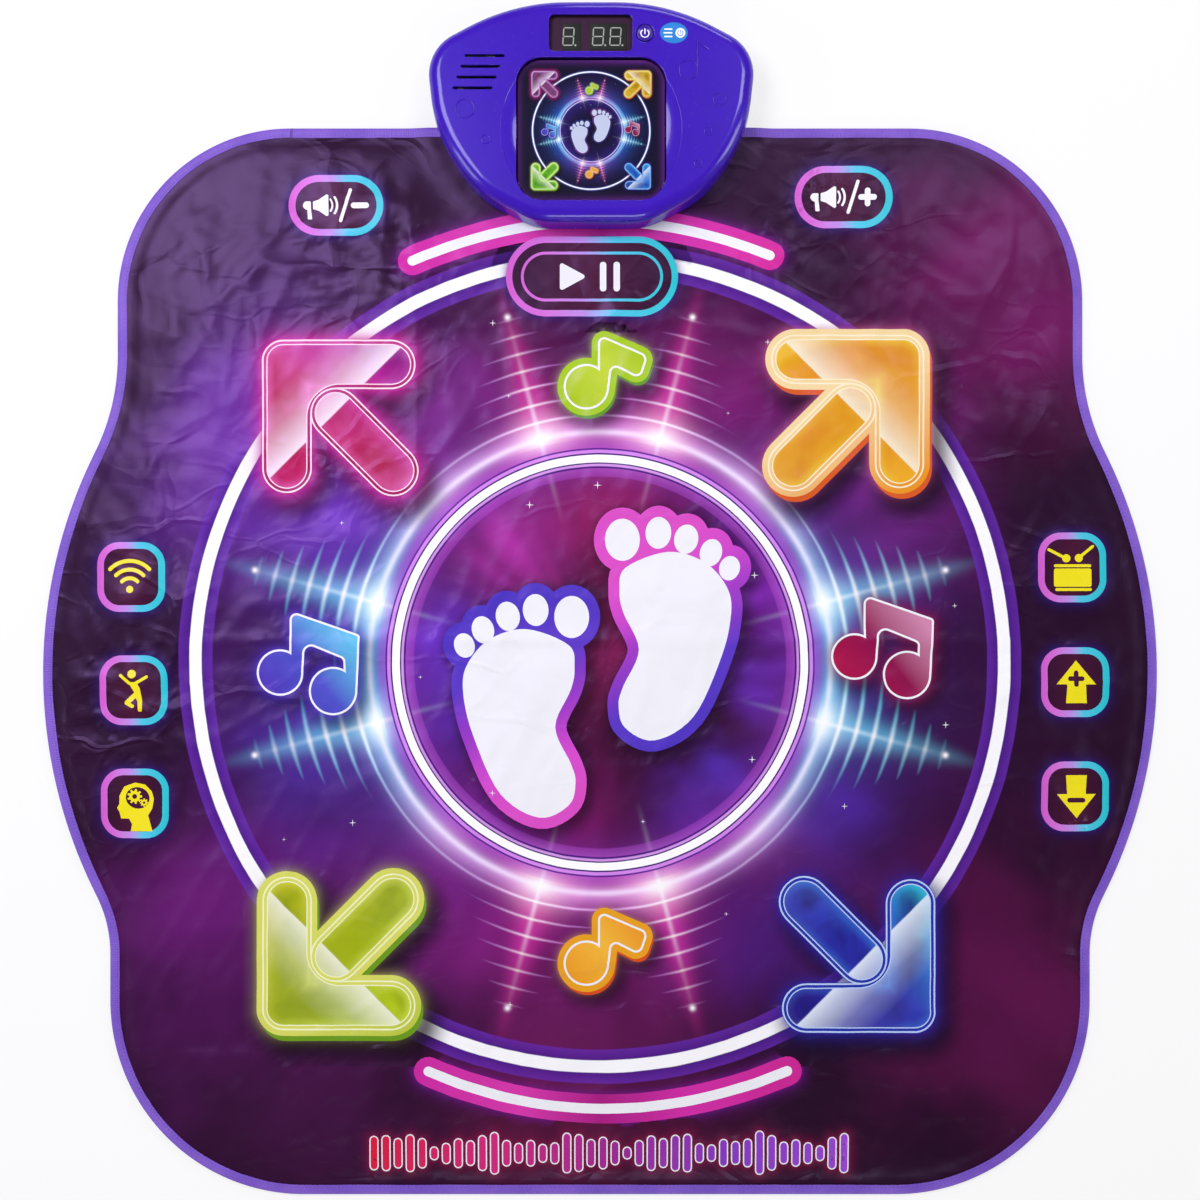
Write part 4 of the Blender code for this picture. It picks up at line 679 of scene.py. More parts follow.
def addBurst(tree, colour, beam, radius, angle, sideways, light):  # evenly spaced beams with rings of light
    p = picture
    for middle, width, share, white in p["lightRings"]:
        ring = times(tree, bell(tree, radius, middle, width), share * light)
        colour = screened(tree, colour, ring, mixColour(tree, white, beam, ink("#e8e0ff")))
    turned = calc(tree, "SUBTRACT", angle, radians(p["rayTurn"]))
    steps = times(tree, turned, p["rays"] / (2 * pi))
    offset = calc(tree, "SUBTRACT", calc(tree, "FRACT", calc(tree, "ADD", steps, 0.5)), 0.5)
    across = times(tree, calc(tree, "ABSOLUTE", times(tree, offset, 2 * pi / p["rays"])), radius)
    diagonal = calc(tree, "ABSOLUTE", calc(tree, "SINE", times(tree, angle, 2.0)))
    strong = ramp(tree, diagonal, burst["diagonal"])
    scaled = calc(tree, "DIVIDE", radius, burst["reach"], clamp=True)
    taper = times(tree, ramp(tree, scaled, burst["taper"]), burst["beamWidth"])
    glow = times(tree, bell(tree, across, 0.0, taper), ramp(tree, scaled, burst["glow"]), strong)
    colour = screened(tree, colour, glow, mixColour(tree, sideways, ink(p["ray"]), beam))
    core = times(tree, bell(tree, across, 0.0, burst["coreWidth"]), ramp(tree, scaled, burst["core"]), strong)
    colour = screened(tree, colour, core, mixColour(tree, 0.62, beam, ink("#ffffff")))
    phase = times(tree, calc(tree, "SUBTRACT", radius, p["firstRipple"]), 2 * pi / p["rippleStep"])
    crest = spread(tree, calc(tree, "COSINE", phase), 0.5, 1.0)
    limit = times(tree, ramp(tree, scaled, burst["limit"]), burst["limitWidth"])
    inside = calc(tree, "SUBTRACT", 1.0, calc(tree, "DIVIDE", across, limit), clamp=True)
    sharpness = calc(tree, "DIVIDE", spread(tree, sideways, *burst["sharpness"]),
                     calc(tree, "ADD", inside, 0.15))
    ripple = times(tree, calc(tree, "POWER", crest, sharpness), calc(tree, "POWER", inside, 0.6),
                   ramp(tree, scaled, burst["fade"]), strong)
    pale = mixColour(tree, 0.35, beam, mixColour(tree, sideways, ink("#c8b0ff"), ink("#58ecff")))
    pale = mixColour(tree, calc(tree, "POWER", inside, 3.0), pale, ink("#fff2e4"))
    colour = screened(tree, colour, ripple, pale)
    hot = mixColour(tree, sideways, ink(p["flare"]), ink("#eefcff"))
    for deep, wide, share in burst["hotSpots"]:
        spot = times(tree, bell(tree, radius, p["coreRing"], deep), bell(tree, across, 0.0, wide), strong,
                     share)
        colour = screened(tree, colour, spot, hot)
    width = burst["tipWidth"]
    tip = times(tree, bell(tree, radius, burst["tipRadius"], width), bell(tree, across, 0.0, width), strong)
    return screened(tree, colour, tip, ink("#fff4ff"))


def pictureMaterial(place, finish):
    material, tree, shader = newMaterial(place["name"] + " picture", "#301030", 0.4)
    art = artCoords(tree, place)
    radius = vectorCalc(tree, "LENGTH", art, output="Value")
    parts = tree.nodes.new("ShaderNodeSeparateXYZ")
    tree.links.new(art, parts.inputs[0])
    angle = calc(tree, "ARCTAN2", parts.outputs[1], parts.outputs[0])
    sideways = calc(tree, "POWER", calc(tree, "ABSOLUTE", calc(tree, "COSINE", angle)), 2.0)
    tint = tree.nodes.new("ShaderNodeAttribute")
    tint.attribute_name = "tint"
    colour = tint.outputs["Color"]
    beam = mixColour(tree, sideways, ink(picture["pink"]), ink(picture["cyan"]))
    colour = addBurst(tree, colour, beam, radius, angle, sideways, place["light"])
    colour = addRings(tree, colour, radius, place["rings"])
    cover = tree.nodes.new("ShaderNodeAttribute")
    cover.attribute_name = "cover"
    colour = mixColour(tree, cover.outputs["Alpha"], colour, cover.outputs["Color"])
    tree.links.new(colour, shader.inputs["Base Color"])
    finish(tree, shader)
    return material


def paintTints(piece, place, tints, covers=None):
    mesh = piece.data
    count = len(mesh.vertices)
    coords = np.zeros(count * 3)
    mesh.vertices.foreach_get("co", coords)
    points = (coords.reshape(-1, 3)[:, :2] * 1000 - place["centre"]) / place["scale"]
    colours = np.ones((count, 4))
    colours[:, :3] = tints(points)
    mesh.attributes.new("tint", "FLOAT_COLOR", "POINT").data.foreach_set("color", colours.ravel())
    above = np.zeros((count, 4)) if covers is None else covers(points)
    mesh.attributes.new("cover", "FLOAT_COLOR", "POINT").data.foreach_set("color", above.ravel())


matPlace.update(rings=(ringStops, outerStops), finish=clothFinish, slot="printed_fabric", light=1.0)
matPicture = pictureMaterial(matPlace, clothFinish)

print("top sheet")
bm = sheetMesh(topHeights, sheetHoles)
flatArea = sum(f.calc_area() for f in bm.faces) * 1e-6
topSheet = newPiece("printed_sheet", bm, [matPicture], replaces=["top_fabric"], sharp=60)
paintTints(topSheet, matPlace, printAndSheenTint)
giveThickness(topSheet, sheetShape["fabric"])

backing, tree, shader = newMaterial("dotted backing", "#1b1b1f", 0.82)
coords = objectCoords(tree)
dots = tree.nodes.new("ShaderNodeTexVoronoi")
dots.feature = "F1"
dots.inputs["Scale"].default_value = 120
dots.inputs["Randomness"].default_value = 0.0
tree.links.new(mapped(tree, coords, (1, 1, 0)), dots.inputs["Vector"])
dot = ramp(tree, dots.outputs["Distance"], [(0.0, 1.0), (0.22, 1.0), (0.27, 0.0), (1.0, 0.0)])
tree.links.new(mixColour(tree, dot, ink("#1b1b1f"), ink("#2c2c30")), shader.inputs["Base Color"])
tree.links.new(spread(tree, dot, 0.85, 0.5), shader.inputs["Roughness"])
cloth = noiseBump(tree, 900, 2, 0.00008, 0.6)
tree.links.new(bump(tree, dot, 0.0004, 0.8, cloth), shader.inputs["Normal"])

print("backing sheet")
underSheet = newPiece("backing_sheet", sheetMesh(underHeights, sheetHoles[:2]), [backing],
    replaces=["bottom_fabric"], sharp=60)
giveThickness(underSheet, sheetShape["fabric"])


# The folded tape and its stitches

tapeShape = dict(step=2.4, stitchInset=6.2, stitchPitch=3.3, stitchLength=2.3, stitchWidth=0.5,
    stitchHigh=0.2, stitchLevel=3.42)
tapeProfile = ((8.0, 2.85), (7.7, 3.3), (6.2, 3.4), (3.2, 3.5), (1.3, 3.3), (0.35, 2.6), (0.0, 1.7),
    (0.35, 0.8), (1.3, 0.15), (3.2, 0.0), (7.7, 0.05), (8.0, 0.5), (1.6, 0.6), (1.0, 1.7), (1.6, 2.75))


def edgeLine(step):  # points round the outline with their inward direction
    edge = np.array(roundedLoop(matCorners(), 0.0, 0.01))
    start = int(np.argmax(edge[:, 1] - np.abs(edge[:, 0] - consoleX) * 0.01))
    edge = np.roll(edge, -start, axis=0)
    closed = np.vstack([edge, edge[:1]])
    runs = np.concatenate([[0], np.cumsum(np.hypot(*np.diff(closed, axis=0).T))])
    count = int(runs[-1] / step)
    places = np.arange(count) * runs[-1] / count
    line = np.stack([np.interp(places, runs, closed[:, k]) for k in (0, 1)], 1)
    along = np.roll(line, -1, axis=0) - np.roll(line, 1, axis=0)
    along /= np.hypot(*along.T)[:, None]
    return line, np.stack([-along[:, 1], along[:, 0]], 1), places


def edgeLift(points):
    gap = loopDistance(points, consoleLoop(0.0, 0.6))
    return sheetShape["lift"] * (1 - smooth(sheetShape["clampNear"], sheetShape["clampFar"], gap))


def skin(rings, closed=False):  # bridges matched rings, and caps the ends unless the row is closed
    bm = bmesh.new()
    rows = []
    for ring in rings:
        verts = [bm.verts.new(p) for p in ring]
        rows.append([bm.edges.new((a, b)) for a, b in zip(verts, verts[1:] + verts[:1])])
    pairs = list(zip(rows, rows[1:]))
    if closed:
        pairs.append((rows[-1], rows[0]))
    for first, second in pairs:
        bmesh.ops.bridge_loops(bm, edges=first + second)
    if not closed:
        bmesh.ops.contextual_create(bm, geom=rows[0])
        bmesh.ops.contextual_create(bm, geom=rows[-1])
    bmesh.ops.recalc_face_normals(bm, faces=bm.faces[:])
    return bm


tape, tree, shader = newMaterial("woven tape", "#6a3fb4", 0.55, Sheen_Weight=0.35, Sheen_Roughness=0.4)
shader.inputs["Sheen Tint"].default_value = ink("#c8b0ff")
lie = tree.nodes.new("ShaderNodeAttribute")
lie.attribute_name = "along"
unevenColour(tree, shader, 30, 5, "#5a32aa", "#8e66d4")
unevenRoughness(tree, shader, 80, 3, 0.45, 0.7)
ribs = tree.nodes.new("ShaderNodeTexWave")
ribs.bands_direction = "X"
ribs.inputs["Scale"].default_value = 160
ribs.inputs["Distortion"].default_value = 0.6
tree.links.new(lie.outputs["Vector"], ribs.inputs["Vector"])
under = noiseBump(tree, 260, 4, 0.0004, 0.5)
tree.links.new(bump(tree, ribs.outputs["Fac"], 0.00018, 0.8, under), shader.inputs["Normal"])

print("tape")
line, inward, places = edgeLine(tapeShape["step"])
rings = []
lifts = edgeLift(line)
pucker = np.array([noise.noise(Vector((p / 5.5, 0.3, 0.0))) for p in places])
swell = np.array([noise.noise(Vector((p / 31.0, 4.3, 0.0))) for p in places])
for inset, z in tapeProfile:
    loose = max(0.0, (inset - 2) / 6) if z > 1 else 0.0
    ring = line + inward * (inset + 0.35 * loose * swell)[:, None]
    high = z + lifts + loose * (0.10 * pucker + 0.08 * swell) * (1 if inset > 2 else 0)
    rings.append([(x, y, h) for (x, y), h in zip(ring, high)])
bm = skin(rings, closed=True)
tapePiece = newPiece("edge_tape", bm, [tape], replaces=["edge_binding"], sharp=50)
along = np.zeros((len(tapePiece.data.vertices), 3), np.float32)
along[:, 0] = np.tile(places, len(tapeProfile)) * 0.001
tapePiece.data.attributes.new("along", "FLOAT_VECTOR", "POINT").data.foreach_set("vector", along.ravel())

thread, tree, shader = newMaterial("sewing thread", "#6d46c0", 0.6)
tree.links.new(noiseBump(tree, 4000, 1, 0.0001, 0.6), shader.inputs["Normal"])
line, inward, places = edgeLine(tapeShape["stitchPitch"])
bm = bmesh.new()
lifts = edgeLift(line)
for point, way, lift in zip(line, inward, lifts):
    spot = point + way * tapeShape["stitchInset"]
    turn = atan2(way[1], way[0]) + pi / 2
    size = (tapeShape["stitchLength"] / 2, tapeShape["stitchWidth"] / 2, tapeShape["stitchHigh"])
    place = Matrix.Translation((*spot, tapeShape["stitchLevel"] + lift))
    matrix = place @ Matrix.Rotation(turn, 4, "Z") @ Matrix.Diagonal((*size, 1))
    bmesh.ops.create_icosphere(bm, subdivisions=1, radius=1.0, matrix=matrix)
stitches = newPiece("edge_stitches", bm, [thread], sharp=80)


# Printed figures

def placed(loop, place):
    x, y = place["centre"]
    return [(x + a * place["scale"], y + b * place["scale"]) for a, b in loop]


def paintShape(bm, layers, place, extra=0.0):  # layers are a material index and loops, from the lowest up
    world = [(index, [placed(loop, place) for loop in loops]) for index, loops in layers]
    points, edges = [], []
    for _, loops in world:
        for loop in loops:
            start = len(points)
            points += loop
            edges += [(start + k, start + (k + 1) % len(loop)) for k in range(len(loop))]
    bounds = np.array(points)
    low, high = bounds.min(0) - 0.5, bounds.max(0) + 0.5
    if place["cloth"]:
        lines = []
        for axis in (0, 1):
            first = ceil((low[axis] - latticeStart[axis]) / cell)
            for k in range(first, int((high[axis] - latticeStart[axis]) / cell) + 1):
                at = latticeStart[axis] + k * cell
                lines.append(((at, low[1]), (at, high[1])) if axis == 0 else ((low[0], at), (high[0], at)))
        skew = latticeStart[0] - latticeStart[1]
        for k in range(ceil((low[0] - high[1] - skew) / cell), int((high[0] - low[1] - skew) // cell) + 1):
            gap = k * cell + skew
            x0, x1 = max(low[0], low[1] + gap), min(high[0], high[1] + gap)
            if x1 - x0 > 0.01:
                lines.append(((x0, x0 - gap), (x1, x1 - gap)))
        for a, b in lines:
            edges.append((len(points), len(points) + 1))
            points += [a, b]
    verts, _, faces, _, _, _ = geometry.delaunay_2d_cdt([Vector(p) for p in points], edges, [], 0, 1e-5, True)
    flat = np.array([v[:] for v in verts])
    corners = np.array(faces)
    centres = flat[corners].mean(1)
    top = np.full(len(faces), -1)
    for index, loops in world:
        hit = np.zeros(len(faces), bool)
        for loop in loops:
            hit |= isInside(centres, loop)
        top[hit] = index
    used = {}
    heights = onLattice(topHeights, flat) if place["cloth"] else np.full(len(flat), place["height"])
    for face, index in zip(faces, top):
        if index < 0:
            continue
        for k in face:
            if k not in used:
                used[k] = bm.verts.new((*flat[k], heights[k] + place["lift"] + extra))
        made = bm.faces.new([used[k] for k in face])
        made.material_index = int(index)
        made.smooth = place["cloth"]
    return bm


def figure(name, layers, place, materials, extra=0.0):
    bm = bmesh.new()
    groups = layers if isinstance(layers[0], list) else [layers]
    for group in groups:
        paintShape(bm, group, place, extra)
    bmesh.ops.recalc_face_normals(bm, faces=bm.faces[:])
    down = [f for f in bm.faces if f.normal.z < 0]
    if down:
        bmesh.ops.reverse_faces(bm, faces=down)
    return newPiece(place["name"] + "_" + name, bm, materials)


def alongLine(tree, art, start, end):  # 0 at the start and 1 at the end
    span = Vector(end) - Vector(start)
    unit = span / span.length_squared
    along = vectorCalc(tree, "DOT_PRODUCT", art, (unit.x, unit.y, 0), "Value")
    return calc(tree, "SUBTRACT", along, unit.dot(Vector(start)), clamp=True)


def litBars(tree, art, colour, bars, half, lit, dark):  # round bars, lighter along the rim and darker inside
    near = None
    for a, b in bars:
        share = alongLine(tree, art, a, b)
        spot = vectorCalc(tree, "MULTIPLY", share, (b[0] - a[0], b[1] - a[1], 0))
        gap = vectorCalc(tree, "DISTANCE", art, vectorCalc(tree, "ADD", spot, (*a, 0)), "Value")
        near = gap if near is None else calc(tree, "MINIMUM", near, gap)
    share = calc(tree, "DIVIDE", near, half, clamp=True)
    patches = ramp(tree, noiseShare(tree, art, 0.022, 2, 0.5, 0.6), [(0.42, 0.0), (0.62, 1.0)])
    core = times(tree, ramp(tree, share, [(0.0, 0.9), (0.5, 0.55), (0.8, 0.0)]), patches)
    colour = mixColour(tree, core, colour, ink(dark))
    rim = ramp(tree, share, [(0.45, 0.0), (0.72, 0.3), (0.88, 0.7), (1.0, 0.5)])
    uneven = ramp(tree, noiseShare(tree, art, 0.016, 2, 0.5, 0.6), [(0.36, 0.1), (0.60, 0.85)])
    return mixColour(tree, times(tree, rim, uneven), colour, ink(lit))


def inkMaterial(name, place, stops, start=None, end=None, vary=0.05, shine=None, bars=None):
    first = stops if isinstance(stops, str) else stops[0][1]
    material, tree, shader = newMaterial(place["name"] + " " + name, first, 0.4)
    art = artCoords(tree, place)
    if isinstance(stops, str):
        share = noiseShare(tree, art, 0.02, 4)
        dark = [channel * (1 - vary * 2) for channel in ink(stops)[:3]] + [1.0]
        colour = mixColour(tree, share, dark, ink(stops))
    else:
        share = alongLine(tree, art, start, end)
        if shine:
            drift = spread(tree, noiseShare(tree, art, 0.018, 3, 0.5, 0.5), -0.15, 0.15)
            share = calc(tree, "ADD", share, drift)
        colour = ramp(tree, share, stops)
    if bars:
        colour = litBars(tree, art, colour, *bars)
    if shine:
        stops, start, end, glint = shine
        colour = mixColour(tree, ramp(tree, alongLine(tree, art, start, end), stops), colour, ink(glint))
    tree.links.new(colour, shader.inputs["Base Color"])
    place["finish"](tree, shader)
    return material


def filmFinishAndGlow(tree, shader):  # smooth printed film behind the window, given a painted glow
    unevenRoughness(tree, shader, 200, 3, 0.3, 0.42)
    shader.inputs["Specular IOR Level"].default_value = 0.1
    tree.links.new(shader.inputs["Base Color"].links[0].from_socket, shader.inputs["Emission Color"])
    shader.inputs["Emission Strength"].default_value = 0.16  # painted glow: the picture gives off a little light of its own colour, standing in for the light box behind it


panelRings = (
    ((170.0, "#b8a0dc", 0.0), (171.0, "#dccaf0", 0.95), (174.5, "#dccaf0", 0.95), (176.0, "#8c80d0", 0.0)),
    ((314.0, "#3a3aa0", 0.0), (321.5, "#4a50b0", 0.5), (323.0, "#f4f6ff", 1.0), (330.0, "#f4f6ff", 1.0),
    (331.5, "#4a50b0", 0.5), (340.0, "#3a3aa0", 0.0)))

arrowShape = dict(arm=124, thick=40, corner=17, crook=22.5, barRadius=20.6, barNear=59.5, barFar=106,
    stroke=1.3, gap=2.2, cut=84)
arrows = {  # outer corner, way of the arms, tones from one arm's side to the other, edges, lines and halo
    "arrow_far_left": dict(corner=(-273, 261), way=(1, -1), grow=0.5, edge=("#d04898", "#a01858"),
        line="#f6dcea", tones=("#b81c62", "#b4124a", "#bc3274", "#b42694", "#7c1470"), lit="#ee78cc",
        dark="#a40c3c", glint="#f4e6f2", halo=("#c42c98", 0.8, 6)),
    "arrow_far_right": dict(corner=(262, 265), way=(-1, -1), grow=4.5, edge=("#efd49a", "#e6941e"),
        side="#d85c20", line="#f8ecc8", tones=("#e8a81a", "#e09a12", "#dd9c12", "#e08c10", "#e6b420"),
        lit="#f2e24e", dark="#d6860c", glint="#f2e8cc", halo=("#c85a90", 0.45, 3.0)),
    "arrow_near_left": dict(corner=(-273, -297), way=(1, 1), grow=4.5, edge=("#d4d860", "#a4bc12"),
        side="#6c9c18", line="#f0f4c4", tones=("#bcbc1c", "#aab60e", "#9eae0a", "#aac212", "#b8ce1a"),
        lit="#e6ee66", dark="#8a9c08", glint="#eef0d4", halo=("#b0a860", 0.45, 3.0)),
    "arrow_near_right": dict(corner=(271, -299), way=(-1, 1), grow=0.5, edge=("#2434a4", "#3a2c98"),
        line="#bcd0f2", tones=("#2cc0d2", "#2a6cc4", "#2a34ac", "#2c249c", "#301c84"), lit="#3f8ce4",
        dark="#1e1a78", glint="#e2ecf8", halo=("#2626a0", 0.6, 5))}


panelArrows = {
    "arrow_far_left": dict(corner=(-332, 331), edge=("#b484bc", "#7c3c80"), lit="#c890d0", dark="#5c2050",
        glint="#efdcf0", tones=("#7c3470", "#6a2858", "#803a70", "#7c3480", "#6c2c70"), line="#e2c8e8"),
    "arrow_far_right": dict(corner=(332, 331), edge=("#e4cc50", "#cc9c14"), lit="#f4ec70", dark="#b07c08",
        tones=("#e0b81c", "#d2a414", "#d8ac14", "#d0a010", "#dcb820"), line="#f2e8b0"),
    "arrow_near_left": dict(corner=(-332, -327), edge=("#b8e070", "#60b41c"), lit="#b4f070", dark="#3c8810",
        tones=("#8ac830", "#70b41c", "#60ac18", "#74bc20", "#84c82c"), line="#d8f4b0"),
    "arrow_near_right": dict(corner=(332, -327), edge=("#3c8ce0", "#2058b8"), lit="#58c0fc", dark="#1440a0",
        tones=("#34a8e8", "#2488dc", "#1c6cc8", "#1c58b4", "#2448a0"), line="#b8dcf8")}
panelPlace.update(light=0.4, rings=panelRings, finish=filmFinishAndGlow, slot="picture_sheet",
                  height=nodeBox("panel_print")[1].z,
                  arrows={name: arrows[name] | dict(size=1.16, **changes)
                          for name, changes in panelArrows.items()})
matPlace.update(arrows=arrows)


def arrowSizes(spec):
    return {name: size * spec.get("size", 1.0) for name, size in arrowShape.items()}


def arrowLoops(spec, grow=0.0, shift=(0, 0)):
    a = arrowSizes(spec)
    arm, thick, tip = a["arm"], a["thick"], a["thick"] / 2
    x, y = spec["corner"]
    wx, wy = spec["way"]
    head = [(0, 0, a["corner"]), (arm, 0, tip), (arm, thick, tip), (thick, thick, a["crook"]),
            (thick, arm, tip), (0, arm, tip)]
    head = [(x + wx * p + shift[0], y + wy * q + shift[1], r) for p, q, r in head]
    if wx * wy < 0:
        head = head[::-1]
    ends = [(x + wx * k + shift[0], y + wy * k + shift[1]) for k in (a["barNear"], a["barFar"])]
    return roundedLoop(head, -grow), barLoop(*ends, a["barRadius"] + grow, 16)


def paintArrow(name, spec, place):
    a = arrowSizes(spec)
    x, y = spec["corner"]
    wx, wy = spec["way"]
    run = a["barFar"] + a["barRadius"]
    end = (x + wx * run, y + wy * run)
    cut = a["cut"] / (run * sqrt(2))
    shine = [(0.0, 0.0)] + [(cut * share, value) for share, value in (
        (0.45, 0.02), (0.68, 0.2), (0.88, 0.62), (0.99, 0.92), (1, 0.0), (1.3, 0.0))] + [(1.0, 0.04)]
    tones = [(0.08 + 0.21 * k, tone) for k, tone in enumerate(spec["tones"])]
    first, last = (x, y + wy * a["arm"]), (x + wx * a["arm"], y)
    tip, centre = a["thick"] / 2, (x + wx * a["thick"] / 2, y + wy * a["thick"] / 2)
    bars = [(centre, (x + wx * (a["arm"] - tip), centre[1])),
            (centre, (centre[0], y + wy * (a["arm"] - tip))),
            tuple((x + wx * k, y + wy * k) for k in (a["barNear"], a["barFar"]))]
    fill = inkMaterial(name + " fill", place, tones, first, last, shine=(shine, (x, y), end, spec["glint"]),
                       bars=(bars, tip, spec["lit"], spec["dark"]))
    edge = inkMaterial(name + " edge", place, list(zip((0.2, 0.8), spec["edge"])),
                       (x - 0.3 * a["arm"], y), (x + 0.3 * a["arm"], y - a["arm"]))
    side = inkMaterial(name + " side", place, spec.get("side", spec["edge"][1]))
    line = inkMaterial(name + " line", place, spec["line"], vary=0.015)
    layers = []
    if "side" in spec:
        layers.append((2, arrowLoops(spec, spec["grow"] - 0.5, (2.2, -4.6))))
    head, bar = arrowLoops(spec, spec["grow"])
    layers.append((1, (head, bar)))
    for part in (0, 1):
        inset = 0.0
        for index, depth in ((3, a["stroke"]), (1, a["gap"]), (3, a["stroke"] * 0.7), (0, 0)):
            layers.append((index, (arrowLoops(spec, -inset)[part],)))
            inset += depth
    return figure(name, layers, place, [fill, edge, side, line])


noteShapes = {  # heads as x, y, radius, then the stem and flag as corners with radii
    "single": dict(heads=((0, 0, 18.4),), stem=((9.2, 0, 0.5), (18.6, 0, 0.5), (20.7, 17.6, 4),
        (43.6, 6.0, 6), (50.0, 25.4, 6), (9.4, 42.5, 5))),
    "pair": dict(heads=((0, 0, 18.8), (42.6, -15.0, 19.6)),
        stem=((7.6, 0, 0.5), (18.8, 0, 0.5), (20, 23.6, 5.5), (51.2, 10.9, 3.4), (51.2, -14.7, 0.5),
        (62.2, -14.7, 0.5), (64.6, 30.4, 3.4), (7.5, 50.2, 5.5)))}
notes = {
    "note_far": dict(kind="single", at=(-11, 223), shades=("#a6c41a", "#c0d436", "#9cc018"), edge="#a6cc1a",
        side="#5e9a1c", halo=("#c0b890", 0.4, 2.0), grow=5.0),
    "note_near": dict(kind="single", at=(-11, -243), shades=("#ec9a1c", "#f2b838", "#e88a18"), edge="#eca41c",
        side="#d8501a", halo=("#d08a70", 0.4, 2.0), grow=5.0),
    "note_left": dict(kind="pair", at=(-258.5, -8), shades=("#4c34b0", "#4a50c0", "#60c0e4"), edge="#4a48c0",
        halo=("#4a34b8", 0.7, 4), grow=0.0),
    "note_right": dict(kind="pair", at=(205.5, 5), shades=("#ac1044", "#8a1048", "#cc86a8"), edge="#9c1040",
        halo=("#8c1450", 0.6, 4), grow=0.0)}


def noteLoops(spec, grow=0.0, shift=(0, 0)):
    shape = noteShapes[spec["kind"]]
    x, y = spec["at"][0] + shift[0], spec["at"][1] + shift[1]
    loops = [ovalLoop((x + a, y + b), r + grow, r + grow, 0, 56) for a, b, r in shape["heads"]]
    return loops + [roundedLoop([(x + a, y + b, r) for a, b, r in shape["stem"]], -grow)]


def paintNote(name, spec, place):
    x, y = spec["at"]
    first, middle, last = spec["shades"]
    fill = inkMaterial(name + " fill", place, [(0.0, first), (0.5, middle), (1.0, last)],
                       (x - 15, y - 12), (x + 48, y + 38))
    edge = inkMaterial(name + " edge", place, spec["edge"])
    side = inkMaterial(name + " side", place, spec.get("side", spec["edge"]))
    layers = []
    if "side" in spec:
        layers.append((2, noteLoops(spec, spec["grow"] - 1, (1.5, -3.5))))
    if spec["grow"] > 0:
        layers.append((1, noteLoops(spec, spec["grow"])))
    layers.append((3, noteLoops(spec, 0)))
    layers.append((0, noteLoops(spec, -1.7)))
    return figure(name, layers, place, [fill, edge, side, place["white"]])


footShape = dict(
    toes=((-22.9, 36.9, 14.1, 17.0, 0.0), (-52.0, 42.5, 10.4, 12.9, 0.05), (-74.5, 37.4, 9.7, 11.9, 0.2),
    (-94.5, 26.5, 8.9, 11.2, 0.3), (-109.5, 13.9, 8.3, 10.0, 0.3)),
    sole=((-59.5, 27.1), (-25.3, 14.2), (-20.6, -4.3), (-23.6, -21.9), (-36.2, -52.0), (-23.4, -82.0),
    (-19.8, -97.0), (-25.0, -115.0), (-48.7, -125.3), (-80.5, -106.0), (-103.0, -57.5), (-110.7, -22.4),
    (-107.0, -1.0), (-89.0, 19.0)), border=9.0, mirror=(-4.8, 62.4))


def footLoops(right, grow=0.0):
    loops = [ovalLoop(toe[:2], toe[2] + grow, toe[3] + grow, toe[4]) for toe in footShape["toes"]]
    loops.append(curveLoop(footShape["sole"][::-1], grow))
    if right:
        across, rise = footShape["mirror"]
        loops = [[(across - x, y + rise) for x, y in loop[::-1]] for loop in loops]
    return loops


def paintFeet(place):
    stops = [(0.0, "#4a35b8"), (0.35, "#5a3ac0"), (0.62, "#a23cc0"), (0.82, "#d24cc8"), (1.0, "#d850c0")]
    if not place["cloth"]:
        stops = [(0.0, "#22266c"), (0.5, "#2c2470"), (1.0, "#5c2a78")]
    left = inkMaterial("left foot edge", place, stops, (-110, 40), (-50, -115))
    right = inkMaterial("right foot edge", place, stops, (90, -60), (10, 70))
    for name, mirrored, edge in (("foot_left", False, left), ("foot_right", True, right)):
        layers = [(1, footLoops(mirrored, footShape["border"])), (0, footLoops(mirrored))]
        figure(name, layers, place, [place["white"], edge])


def crossLoop(centre, reach, half):  # a plus sign with round ends
    x, y = centre
    turns = []
    for k in range(4):
        a = pi / 2 * k
        out = Vector((cos(a), sin(a)))
        side = Vector((-sin(a), cos(a)))
        tip = Vector(centre) + out * (reach - half)
        turns += [tuple(tip + out * half * cos(t) + side * half * sin(t))
                  for t in np.linspace(-pi / 2, pi / 2, 9)]
        turns.append((x + half * (cos(a) - sin(a)), y + half * (sin(a) + cos(a))))
    return turns


def gearLoop(centre, outer, inner, teeth):
    loop = []
    for k in range(teeth):
        for share, radius in ((-0.30, inner), (-0.20, outer), (0.20, outer), (0.30, inner)):
            turn = 2 * pi * (k + share) / teeth
            loop.append((centre[0] + radius * cos(turn), centre[1] + radius * sin(turn)))
    return loop


def moved(loop, centre):
    return [(x + centre[0], y + centre[1]) for x, y in loop]


